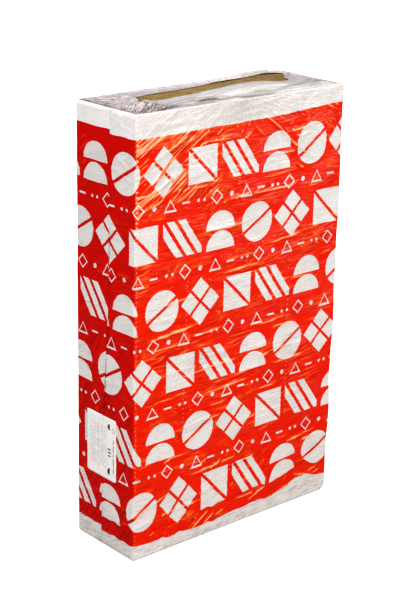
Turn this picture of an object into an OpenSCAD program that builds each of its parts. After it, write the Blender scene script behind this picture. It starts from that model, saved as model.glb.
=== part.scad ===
// Pack of two mineral wool facade boards standing on end in a printed shrink film sleeve.
// Millimetres. X runs across the boards' width, Y through their thickness, Z up their length.
// The origin is the centre of the pack's footprint, on the floor.

/* [Board] */
// Length of a board, which stands upright
board_length = 1000; // [600:50:1200]
// Width of a board
board_width = 600; // [400:50:900]
// Thickness of a board
board_thickness = 100; // [80:10:160]
// Rounding of the sawn edges that the tight film presses on
board_ease = 5; // [4:0.5:14]
// Rounding of the sawn edges where the two boards meet
joint_ease = 1.5; // [0.5:0.5:3]
// Rounding of a board's corners, seen on its wide face
board_corner = 7; // [6:1:18]
// Rounding of the lower right corner, which a knock has crushed
crushed_corner = 22; // [20:1:40]

/* [Film sleeve] */
// Thickness of the film
film_wall = 0.4; // [0.3:0.1:0.8]
// Slack between the film and the wool
film_slack = 0.3; // [0.2:0.1:0.6]
// How much tighter the film folds over an end of the pack than the wool's edge under it
fold_tightness = 1.5; // [1:0.5:2.5]
// Width of the strip where one edge of the web overlaps the other
lap_width = 40; // [20:5:60]
// Distance of the visible web edge from the middle of the narrow face, towards the back
lap_edge = 0; // [-20:5:40]

/* [Mouths] */
// How far the shrunk film reaches in over an end from the front, round an oval mouth
front_flap = 80; // [60:5:90]
// How far it reaches in from the back
back_flap = 35; // [25:5:45]
// How far it reaches in from the left
left_flap = 105; // [80:5:130]
// How far it reaches in from the right
right_flap = 55; // [45:5:80]
// Roundness of the mouth's ends, as a share of its width
mouth_round = 0.45; // [0.3:0.05:0.45]
// Height of the top mouth's front lip above the sleeve, halfway along the mouth
front_lip = 10; // [4:1:20]
// Height of its back lip there
back_lip = 2; // [1:1:8]
// Height of the lip where the film is gathered, past the mouth's ends
gathered_height = 4; // [2:1:8]
// Loose roll that the film makes along the front edge of the top
front_roll = 7; // [0:1:15]
// Depth of the gathers that run into the ends of the top mouth
gather_depth = 2.2; // [0:0.2:3]

/* [Label] */
// Width of the paper label on the narrow face
label_width = 105; // [60:1:110]
// Height of the label
label_height = 148; // [80:1:210]
// Thickness of the label
label_wall = 0.3; // [0.2:0.1:0.5]
// Radius of the label's corners
label_corner = 7; // [2:1:15]
// Height of the label's lower edge above the floor
label_base = 169; // [60:1:400]
// Distance of the label's middle from the middle of the face, towards the back
label_shift = 11; // [-20:1:20]

/* [Hidden] */
$fn = 48;

film_reach = film_slack + film_wall;            // from the wool to the outside of the film
sleeve_x = board_width / 2 + film_reach;        // half the sleeve across
sleeve_y = board_thickness + film_reach;        // half the sleeve through
sleeve_z = board_length + 2 * film_reach;       // height of the sleeve without its lip
wool_bottom = film_reach;                       // height of the boards' feet above the floor

// Outer radii of the film, each round the wool's own rounding
edge_r = board_ease + film_reach;               // at an upright edge
fold_r = edge_r - fold_tightness;               // at a fold over an end, along a wide face
corner_r = board_corner + film_reach;           // at a corner of a wide face
crush_r = crushed_corner + film_reach;          // at the crushed corner
lap_ramp = 6;                                   // run of the film where it comes down off the lap

mouth_length = board_width - left_flap - right_flap;
mouth_width = 2 * board_thickness - front_flap - back_flap;
mouth_middle = [(left_flap - right_flap) / 2, (front_flap - back_flap) / 2];

long_steps = 18;    // pieces of a ring along each wide face
edge_steps = 5;     // pieces round each upright edge
short_steps = 7;    // pieces along each narrow face, which the lap's edges also divide
corner_steps = 3;   // rings round a corner of a wide face, past the fold

// ---- Boards ----

// The waste left outside a rounded corner at the origin, whose sides run along +X and +Y.
module corner_waste(r) {
    difference() {
        translate([-1, -1]) square(r + 1);
        translate([r, r]) circle(r);
    }
}

// A rectangle from the origin whose corners are rounded, in the order lower left, lower right,
// upper right, upper left. A radius of 0 leaves a corner square.
module eased_rectangle(width, height, radii) {
    corners = [[0, 0], [width, 0], [width, height], [0, height]];
    difference() {
        square([width, height]);
        for (i = [0:3])
            if (radii[i] > 0)
                translate(corners[i]) rotate(90 * i) corner_waste(radii[i]);
    }
}

// A quarter of the edge's profile, turned round the corner of a board at the origin. The board
// lies towards -X and +Z of that corner, with its outer face at y = 0.
module turned_corner(r) {
    translate([-r, 0, r])
        rotate([-90, 0, 0])
            rotate_extrude(angle = 90)
                eased_rectangle(r, board_thickness, [0, board_ease, joint_ease, 0]);
}

// Puts what is made for the lower right corner at one of a board's four corners, in the order
// lower left, lower right, upper right, upper left.
module at_corner(i) {
    left = i == 0 || i == 3;
    upper = i > 1;
    translate([left ? -board_width / 2 : board_width / 2, 0, upper ? board_length : 0])
        mirror([left ? 1 : 0, 0, 0])
            mirror([0, 0, upper ? 1 : 0])
                children();
}

// One board with its outer face at y = 0 and its inner face at y = board_thickness. The edge's
// profile runs along its four sides and turns round its corners.
module board() {
    profile_radii = [board_ease, board_ease, joint_ease, joint_ease];
    corner_radii = [board_corner, crushed_corner, board_corner, board_corner];
    difference() {
        intersection() {
            linear_extrude(board_length)
                translate([-board_width / 2, 0])
                    eased_rectangle(board_width, board_thickness, profile_radii);
            translate([-board_width / 2, 0, 0])
                rotate([90, 0, 90])
                    linear_extrude(board_width)
                        eased_rectangle(board_thickness, board_length,
                                        [board_ease, joint_ease, joint_ease, board_ease]);
        }
        for (i = [0:3])
            at_corner(i)
                translate([-corner_radii[i], -1, -1])
                    cube([corner_radii[i] + 1, board_thickness + 2, corner_radii[i] + 1]);
    }
    for (i = [0:3])
        at_corner(i) turned_corner(corner_radii[i]);
}

module board_front() {
    color([0.66, 0.55, 0.33])
        translate([0, -board_thickness, wool_bottom])
            board();
}

module board_back() {
    color([0.66, 0.55, 0.33])
        mirror([0, 1, 0])
            translate([0, -board_thickness, wool_bottom])
                board();
}

// ---- Shrink film sleeve ----

function mix(a, b, t) = a + (b - a) * t;
function ease(t) = t * t * (3 - 2 * t);
// 1 halfway along the mouth, falling to 0 where the gathers begin
function along_mouth(x) = pow(cos(90 * min(1, abs(x - mouth_middle[0]) / (mouth_length / 2))), 2);
// How far a skin t inside a rounded corner of radius r has come in, at distance h from the end
function inset(r, h, t) = h >= r ? t : r - sqrt(max(0, pow(r - t, 2) - pow(r - h, 2)));

// Points of one quarter turn about c, from angle a0, without the last point.
function turn(c, r, a0) =
    [for (i = [0:edge_steps - 1]) let (a = a0 + 90 * i / edge_steps) c + r * [cos(a), sin(a)]];
// Points from p towards q in equal steps, without the last point.
function run(p, q, steps) = [for (i = [0:steps - 1]) mix(p, q, i / steps)];

// The left side of a ring, from its back end to its front end, divided at the edges of the lap. The
// film over the lap stands out by raise.
function lap_side(x, y_back, y_front, raise) =
    let (edge = lap_edge, end = lap_edge - lap_width)
    [[x, y_back],
     [x, mix(edge, y_back, 0.5)],
     [x, edge + film_wall],
     [x - raise, edge],
     [x - raise, mix(edge, end, 0.5)],
     [x - raise, end],
     [x, end - lap_ramp]];

// A ring round the pack, seen from above and running anticlockwise from the right end of the front:
// right side, back, left side, front. The wide faces lie at depth from the middle; the ring turns
// with radius r from one side to the next.
function sleeve_ring(left, right, depth, r, raise) = concat(
    turn([right - r, -depth + r], r, -90),
    run([right, -depth + r], [right, depth - r], short_steps),
    turn([right - r, depth - r], r, 0),
    run([right - r, depth], [-left + r, depth], long_steps),
    turn([-left + r, depth - r], r, 90),
    lap_side(-left, depth - r, -depth + r, raise),
    turn([-left + r, -depth + r], r, 180),
    run([-left + r, -depth], [right - r, -depth], long_steps));

// The mouth's ring, point for point with a sleeve ring.
mouth_ring =
    let (a = mouth_length / 2, b = mouth_width / 2, r = mouth_round * mouth_width,
         ring = concat(
             turn([a - r, -b + r], r, -90),
             run([a, -b + r], [a, b - r], short_steps),
             turn([a - r, b - r], r, 0),
             run([a - r, b], [-a + r, b], long_steps),
             turn([-a + r, b - r], r, 90),
             run([-a, b - r], [-a, -b + r], short_steps),
             turn([-a + r, -b + r], r, 180),
             run([-a + r, -b], [a - r, -b], long_steps)))
    [for (p = ring) mouth_middle + p];
ring_size = len(mouth_ring);

// Ring at distance h from an end, of a skin t inside the film's outer face. right_r is the radius
// of the right corner. Over the lap the film stands out by raise, which ends with the fold.
function end_ring(h, t, right_r, raise) =
    let (in = inset(fold_r, h, t),
         upright = h >= fold_r ? 1 : sqrt(max(0, 1 - pow((fold_r - h) / (fold_r - t), 2))))
    sleeve_ring(sleeve_x - inset(corner_r, h, t), sleeve_x - inset(right_r, h, t), sleeve_y - in,
                edge_r - in, raise * upright);

// Distances from the end, past one of them, that divide the rest of a corner's arc evenly.
function arc_heights(r, past) =
    let (a = asin(1 - past / r))
    [for (i = [1:corner_steps]) r * (1 - sin(a * (1 - i / corner_steps)))];

// Rings of one end as [distance from the end, plan ring], from the end to the crushed corner's
// tangent or, on the upper end, the corners' own.
function end_rings(t, right_r) =
    let (folds = [for (a = [90, 67.5, 45, 22.5, 0]) fold_r - (fold_r - t) * sin(a)],
         corners = arc_heights(corner_r, fold_r),
         crushed = right_r > corner_r ? arc_heights(right_r, corner_r) : [])
    [for (h = concat(folds, corners, crushed)) [h, end_ring(h, t, right_r, film_wall - t)]];

// Ring on the top, a share s of the way from the fold to the mouth.
function top_ring(s, t) =
    let (outer = end_ring(t, t, corner_r, 0))
    [for (i = [0:ring_size - 1])
        let (p = mix(outer[i], mouth_ring[i], s),
             middle = along_mouth(p[0]),
             front = p[1] < mouth_middle[1],
             lip = mix(gathered_height, front ? front_lip : back_lip, middle) * ease(s),
             roll = front ? front_roll * middle * sin(180 * s) : 0,
             swell = sin(180 * min(1, 0.15 + s * 0.7)) * ease(s),
             gather = gather_depth * (i % 2) * (1 - middle) * swell)
        [p[0], p[1], sleeve_z - t + lip + roll + gather]];

// Ring on the underside, which the pack's weight keeps flat.
function foot_ring(s, t) =
    let (outer = end_ring(t, t, crush_r, 0))
    [for (i = [0:ring_size - 1])
        let (p = mix(outer[i], mouth_ring[i], s))
        [p[0], p[1], t]];

mouth_shares = [0.12, 0.3, 0.5, 0.7, 0.88, 1];

// Every ring of one skin, from the lower mouth up the outside to the upper mouth.
function skin(t) =
    let (lower = end_rings(t, crush_r),
         upper = end_rings(t, corner_r))
    concat(
        [foot_ring(1, t)],
        [for (ring = lower) [for (p = ring[1]) [p[0], p[1], ring[0]]]],
        [for (i = [len(upper) - 1:-1:0]) [for (p = upper[i][1]) [p[0], p[1], sleeve_z - upper[i][0]]]],
        [for (s = mouth_shares) top_ring(s, t)]);

// A closed skin through a list of rings, each joined to the next and the last to the first.
module lofted_loop(rings) {
    n = len(rings);
    m = len(rings[0]);
    points = [for (ring = rings) each ring];
    triangles = [for (i = [0:n - 1], j = [0:m - 1])
        let (a = i * m + j, b = i * m + (j + 1) % m,
             c = ((i + 1) % n) * m + (j + 1) % m, d = ((i + 1) % n) * m + j)
        each [[a, c, b], [a, d, c]]];
    polyhedron(points, triangles, convexity = 10);
}

module shrink_film() {
    outer = skin(0);
    inner = skin(film_wall);
    inner_downwards = [for (i = [len(inner) - 1:-1:0]) inner[i]];
    color([0.90, 0.16, 0.05])
        lofted_loop(concat(outer, inner_downwards));
}

// ---- Label ----

module label() {
    color([0.93, 0.92, 0.90])
        translate([-sleeve_x - film_wall - label_wall, label_shift + label_width / 2, label_base])
            rotate([90, 0, -90])
                mirror([0, 0, 1])
                    linear_extrude(label_wall)
                        eased_rectangle(label_width, label_height,
                                        [label_corner, label_corner, label_corner, label_corner]);
}

board_front();
board_back();
shrink_film();
label();
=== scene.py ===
"""Looks of a shrink-wrapped pack of mineral wool facade boards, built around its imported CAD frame."""

import logging
import math
from dataclasses import dataclass, field
from enum import Enum
from typing import Callable, Iterator

import bpy
import numpy as np
from mathutils import Matrix, Vector


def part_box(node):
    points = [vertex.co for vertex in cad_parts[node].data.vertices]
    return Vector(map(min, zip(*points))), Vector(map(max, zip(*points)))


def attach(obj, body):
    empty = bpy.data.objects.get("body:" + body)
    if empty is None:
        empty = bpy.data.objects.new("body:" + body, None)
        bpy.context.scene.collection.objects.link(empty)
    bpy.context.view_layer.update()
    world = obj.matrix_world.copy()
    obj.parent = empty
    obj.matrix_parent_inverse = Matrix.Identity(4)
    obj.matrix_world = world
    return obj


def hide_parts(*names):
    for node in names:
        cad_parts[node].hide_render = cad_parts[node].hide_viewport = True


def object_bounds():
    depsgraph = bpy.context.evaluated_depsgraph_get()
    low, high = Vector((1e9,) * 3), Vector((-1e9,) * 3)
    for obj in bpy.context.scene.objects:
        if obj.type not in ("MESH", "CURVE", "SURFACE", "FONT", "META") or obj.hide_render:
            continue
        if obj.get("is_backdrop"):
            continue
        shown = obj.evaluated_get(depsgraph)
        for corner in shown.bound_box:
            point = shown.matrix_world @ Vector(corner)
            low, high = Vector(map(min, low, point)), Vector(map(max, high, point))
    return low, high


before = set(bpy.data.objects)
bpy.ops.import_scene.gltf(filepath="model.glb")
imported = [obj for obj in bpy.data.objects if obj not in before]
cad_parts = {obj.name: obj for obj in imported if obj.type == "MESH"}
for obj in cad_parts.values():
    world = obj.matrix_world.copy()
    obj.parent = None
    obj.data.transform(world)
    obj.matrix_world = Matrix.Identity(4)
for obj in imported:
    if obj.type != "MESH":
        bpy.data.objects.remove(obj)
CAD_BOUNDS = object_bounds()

MM = 0.001
# Masks stored on the film: the bunched ends, the narrow faces, the crests that get painted highlights and the
# creases that get painted shade.
MASKS = ("gathered", "dense", "crest", "crease_shade")

Material = bpy.types.Material
Mesh = bpy.types.Mesh
Piece = bpy.types.Object
Socket = bpy.types.NodeSocket
Tree = bpy.types.NodeTree
Colour = tuple[float, float, float, float]
Place = tuple[float, float, float]
Array = np.ndarray
Number = float | Array

log = logging.getLogger("pack")


# ---- Smooth noise and meshes ----


def smoothstep(low: Number, high: Number, x: Number) -> Number:
    """Rises smoothly from 0 where x is low to 1 where it is high."""
    t = np.clip((x - low) / (high - low), 0.0, 1.0)
    return t * t * (3.0 - 2.0 * t)


def table(x: Array, places: list[float], values: list[float]) -> Array:
    """Looks places up in a table in millimetres, with straight lines between its entries."""
    return np.interp(x / MM, places, values) * MM


def bell(x: Number, centre: Number, width: Number) -> Number:
    """A bell curve of height 1 about centre."""
    return np.exp(-(((x - centre) / width) ** 2))


def lattice_noise(x: Array, y: Array, seed: int) -> Array:
    """Smooth value noise on a unit lattice.

    Args:
        x: First coordinates, in lattice steps.
        y: Second coordinates, in lattice steps.
        seed: Chooses the lattice values.

    Returns:
        Values from 0 to 1, in the shape of x and y.
    """
    side = 256
    lattice = np.random.default_rng(seed).random((side, side))
    ix, iy = np.floor(x).astype(int), np.floor(y).astype(int)
    fx, fy = x - ix, y - iy
    fx, fy = fx * fx * (3 - 2 * fx), fy * fy * (3 - 2 * fy)
    a, b, c, d = (lattice[(ix + i) % side, (iy + j) % side] for i, j in ((0, 0), (1, 0), (0, 1), (1, 1)))
    return (a * (1 - fx) + b * fx) * (1 - fy) + (c * (1 - fx) + d * fx) * fy


def crumple(x: Array, y: Array, seed: int) -> Array:
    """Sharp-ridged noise, like crumpled film.

    Args:
        x: First coordinates, in lattice steps.
        y: Second coordinates, in lattice steps.
        seed: Chooses the lattice values.

    Returns:
        Values from 0 in its hollows to 1 on its creases.
    """
    total, weight, step = np.zeros_like(x), 0.0, 1.0
    for octave in range(3):
        ridge = 1.0 - np.abs(2.0 * lattice_noise(x * step, y * step, seed + octave) - 1.0)
        total += ridge**2 / step
        weight += 1.0 / step
        step *= 2.1
    return total / weight


def link(name: str, data: bpy.types.ID) -> Piece:
    """Makes an object of some data at the origin and links it to the scene."""
    piece = bpy.data.objects.new(name, data)
    bpy.context.scene.collection.objects.link(piece)
    return piece


def mesh_object(name: str, points: Array, faces: list) -> Piece:
    """Makes a mesh object at the origin, with its place in its mesh.

    Args:
        name: Name of the object and its mesh.
        points: One row of x, y and z a vertex, in metres.
        faces: Vertex numbers of each face, anticlockwise from outside.

    Returns:
        The new object, linked to the scene and shaded smooth.
    """
    mesh = bpy.data.meshes.new(name)
    mesh.from_pydata(points.tolist(), [], faces)
    mesh.validate()
    mesh.update()
    shade_smooth(mesh)
    return link(name, mesh)


def shade_smooth(mesh: Mesh) -> None:
    """Shades every face of a mesh smooth."""
    mesh.polygons.foreach_set("use_smooth", np.ones(len(mesh.polygons), dtype=bool))


def grid_faces(rows: int, columns: int, wrap: bool = False) -> list[list[int]]:
    """Quads of a grid of points stored row after row.

    Args:
        rows: Number of rows of points.
        columns: Number of points in a row.
        wrap: Whether each row closes on itself.

    Returns:
        Four vertex numbers a quad.
    """
    i, j = np.meshgrid(np.arange(rows - 1), np.arange(columns if wrap else columns - 1), indexing="ij")
    k = (j + 1) % columns
    corners = [i * columns + j, i * columns + k, (i + 1) * columns + k, (i + 1) * columns + j]
    return np.stack(corners, axis=-1).reshape(-1, 4).tolist()


def closed_path(arcs: list[Array], counts: tuple[int, ...]) -> Array:
    """Joins arcs into a closed path.

    Args:
        arcs: Points of each arc, in order.
        counts: How many evenly spaced points lie between each arc and the next.

    Returns:
        The path's points.
    """
    path = []
    for arc, following, count in zip(arcs, arcs[1:] + arcs[:1], counts):
        shares = np.linspace(0, 1, count + 2)[1:-1, None]
        path += [arc, arc[-1] + (following[0] - arc[-1]) * shares]
    return np.concatenate(path)


def raised(plan: Array, z: Number) -> Array:
    """Puts the points of a plan, rows first, at heights z."""
    return np.concatenate([plan, np.broadcast_to(z, plan.shape[:2])[..., None]], axis=-1)


# ---- Node trees: numbers with arithmetic, wiring, groups and materials ----


def calculation(operation: str, swapped: bool = False) -> Callable[..., "Value"]:
    """Makes a method of Value that adds one Math node.

    Args:
        operation: The node's operation.
        swapped: Whether the value comes last, as in 1 - value.

    Returns:
        The method, which takes the node's other numbers.
    """

    def method(self: "Value", *others: object) -> "Value":
        """Adds the node and returns what it puts out."""
        return self.wiring.math(operation, *((*others, self) if swapped else (self, *others)))

    return method


@dataclass(frozen=True)
class Value:
    """A number that a node puts out, whose arithmetic adds Math nodes to the node's tree."""

    wiring: "Wiring"
    socket: Socket

    __add__ = calculation("ADD")
    __sub__ = calculation("SUBTRACT")
    __rsub__ = calculation("SUBTRACT", swapped=True)
    __mul__ = calculation("MULTIPLY")
    __truediv__ = calculation("DIVIDE")
    __mod__ = calculation("MODULO")
    __gt__ = calculation("GREATER_THAN")
    __lt__ = calculation("LESS_THAN")
    __abs__ = calculation("ABSOLUTE")
    fract = calculation("FRACT")
    floor = calculation("FLOOR")
    root = calculation("SQRT")
    sine = calculation("SINE")
    cosine = calculation("COSINE")
    angle_from = calculation("ARCTAN2")
    matches = calculation("COMPARE")
    or_higher = calculation("MAXIMUM")


def highest(first: Value, *others: object) -> Value:
    """The highest of some numbers."""
    for other in others:
        first = first.or_higher(other)
    return first


def distance(x: Value, y: Value) -> Value:
    """Distance of a place from the middle, in plan."""
    return (x * x + y * y).root()


def between(value: Value, low: float, high: float) -> Value:
    """1 where value lies between low and high, and 0 elsewhere."""
    return (value > low) * (value < high)


@dataclass(frozen=True)
class Wiring:
    """Adds nodes to a node tree or group and links them in short calls."""

    tree: Tree

    def node(self, kind: str, **settings: object) -> bpy.types.Node:
        """Adds a node and sets its own properties."""
        made = self.tree.nodes.new(kind)
        for key, value in settings.items():
            setattr(made, key, value)
        return made

    def put(self, value: object, socket: Socket) -> None:
        """Gives an input its value.

        Args:
            value: An output to link, or a number or colour to set.
            socket: The input.
        """
        value = getattr(value, "socket", value)
        if isinstance(value, Socket):
            self.tree.links.new(value, socket)
        else:
            socket.default_value = value

    def fed(self, kind: str, given: dict[str | int, object], **settings: object) -> bpy.types.Node:
        """Adds a node and feeds its inputs.

        Args:
            kind: The node's type.
            given: What each input gets, by the input's name or number.
            **settings: The node's own properties.

        Returns:
            The node.
        """
        made = self.node(kind, **settings)
        for key, value in given.items():
            self.put(value, made.inputs[key])
        return made

    def math(self, operation: str, *values: object, clamp: bool = False) -> Value:
        """A Math node on up to three numbers or outputs."""
        made = self.fed("ShaderNodeMath", dict(enumerate(values)), operation=operation, use_clamp=clamp)
        return Value(self, made.outputs[0])

    def ramp(self, value: object, low: float, high: float) -> Value:
        """Rises smoothly from 0 to 1 while value goes from low to high."""
        given = {"Value": value, "From Min": low, "From Max": high}
        made = self.fed("ShaderNodeMapRange", given, interpolation_type="SMOOTHSTEP")
        return Value(self, made.outputs[0])

    def mix(self, share: object, a: object, b: object) -> Socket:
        """Mixes colour a into colour b by share."""
        return self.fed("ShaderNodeMix", {0: share, 6: a, 7: b}, data_type="RGBA").outputs[2]

    def split(self, vector: Socket) -> list[Value]:
        """The three parts of a vector."""
        made = self.fed("ShaderNodeSeparateXYZ", {0: vector})
        return [Value(self, part) for part in made.outputs]

    def join(self, x: object, y: object) -> Socket:
        """A vector of two numbers."""
        return self.fed("ShaderNodeCombineXYZ", {"X": x, "Y": y}).outputs[0]

    def stretch(self, vector: Socket, scale: Place, turn: float = 0.0) -> Socket:
        """Turns a vector about Z by an angle in degrees, then scales it."""
        given = {"Vector": vector, "Angle": math.radians(turn)}
        turned = self.fed("ShaderNodeVectorRotate", given, rotation_type="Z_AXIS").outputs[0]
        return self.fed("ShaderNodeVectorMath", {0: turned, 1: scale}, operation="MULTIPLY").outputs[0]

    def noise(self, vector: Socket, scale: float = 1.0, detail: float = 2.0, roughness: float = 0.5) -> Value:
        """Noise from 0 to 1."""
        given = {"Vector": vector, "Scale": scale, "Detail": detail, "Roughness": roughness}
        return Value(self, self.fed("ShaderNodeTexNoise", given).outputs["Fac"])

    def streaks(self, web: Socket, across: float, up: float, turn: float = 0.0, **settings: float) -> Value:
        """Noise on the web, so many marks a metre across and up, turned by an angle in degrees."""
        return self.noise(self.stretch(web, (across, up, 1), turn), **settings)

    def attribute(self, name: str) -> Value:
        """A number stored on the mesh."""
        return Value(self, self.node("ShaderNodeAttribute", attribute_name=name).outputs["Fac"])

    def uv(self, name: str) -> Socket:
        """Places of a UV map."""
        return self.node("ShaderNodeUVMap", uv_map=name).outputs["UV"]

    def place(self) -> Socket:
        """Places on the piece, in metres."""
        return self.node("ShaderNodeTexCoord").outputs["Object"]

    def ray(self, kind: str) -> Value:
        """1 on rays of one kind, such as Camera or Glossy."""
        return Value(self, self.node("ShaderNodeLightPath").outputs[f"Is {kind} Ray"])

    def bump(self, height: Value, depth: float) -> Socket:
        """A bumped normal, from a height that depth turns into metres."""
        return self.fed("ShaderNodeBump", {"Distance": depth, "Height": height}).outputs["Normal"]

    def group(self, group: Tree, **values: object) -> dict[str, Value]:
        """Places a node group, feeds its named inputs and returns its outputs by name."""
        made = self.fed("ShaderNodeGroup", values, node_tree=group)
        return {output.name: Value(self, output) for output in made.outputs}


def new_group(name: str, inputs: dict[str, object], outputs: tuple[str, ...]) -> tuple[Wiring, dict, dict]:
    """Starts a shader node group, whose outputs are numbers.

    Args:
        name: Name of the group.
        inputs: Each input's default value, or "vector" where it has none.
        outputs: Name of each output.

    Returns:
        The group's wiring, its inputs by name and its output sockets by name.
    """
    tree = bpy.data.node_groups.new(name, "ShaderNodeTree")
    for key, value in inputs.items():
        kind = "NodeSocketVector" if value == "vector" else "NodeSocketFloat"
        made = tree.interface.new_socket(key, in_out="INPUT", socket_type=kind)
        if value != "vector":
            made.default_value = value
    for key in outputs:
        tree.interface.new_socket(key, in_out="OUTPUT", socket_type="NodeSocketFloat")
    w = Wiring(tree)
    begin, end = w.node("NodeGroupInput"), w.node("NodeGroupOutput")
    return w, {k: Value(w, begin.outputs[k]) for k in inputs}, {k: end.inputs[k] for k in outputs}


def new_material(name: str, roughness: float) -> tuple[Material, Wiring, dict[str, Socket]]:
    """Starts a material.

    Args:
        name: Name of the material.
        roughness: Its roughness, where it is the same all over.

    Returns:
        The material, its wiring and the inputs of its Principled shader.
    """
    material = bpy.data.materials.new(name)
    material.use_nodes = True
    inputs = material.node_tree.nodes["Principled BSDF"].inputs
    inputs["Roughness"].default_value = roughness
    return material, Wiring(material.node_tree), inputs


# ---- Shader groups shared by the finishes ----


class Effects:
    """The shader node groups that more than one finish places, each built once."""

    def __init__(self) -> None:
        """Builds every group."""
        self.fibres = self._fibre_group()
        self.dust = self._dust_group()

    @staticmethod
    def _fibre_group() -> Tree:
        """Matted fibres: a height and a tone from crossing stretched noises in layers."""
        inputs = {"Vector": "vector", "Fineness": 1.0, "Layering": 0.5}
        w, given, out = new_group("Matted fibres", inputs, ("Height", "Tone"))
        scale = {0: given["Vector"], "Scale": given["Fineness"]}
        scaled = w.fed("ShaderNodeVectorMath", scale, operation="SCALE").outputs[0]
        along = w.noise(w.stretch(scaled, (60, 700, 700), 8), detail=4, roughness=0.6)
        across = w.noise(w.stretch(scaled, (80, 620, 700), -27), detail=4, roughness=0.6)
        layers = w.noise(w.stretch(scaled, (9, 190, 9)))
        clumps = w.noise(w.stretch(scaled, (45, 60, 60)), detail=5, roughness=0.65)
        layered = layers * given["Layering"]
        w.put((along + across) * 0.5 * 0.6 + clumps * 0.4 + layered * 0.5, out["Height"])
        w.put(w.math("ADD", clumps * 0.6, layered, clamp=True), out["Tone"])
        return w.tree

    @staticmethod
    def _dust_group() -> Tree:
        """Fine wool dust: a mask that is dense where the clouds are and has specks in them."""
        w, given, out = new_group("Wool dust", {"Vector": "vector", "Amount": 0.3}, ("Mask",))
        clouds = w.noise(given["Vector"], scale=7.0, detail=3)
        specks = w.noise(given["Vector"], scale=420.0, detail=1)
        low = 0.78 - given["Amount"] * 0.3
        w.put(w.ramp(clouds * 0.35 + specks - low, 0.0, 0.08) * given["Amount"], out["Mask"])
        return w.tree


# ---- Finishes ----


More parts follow.
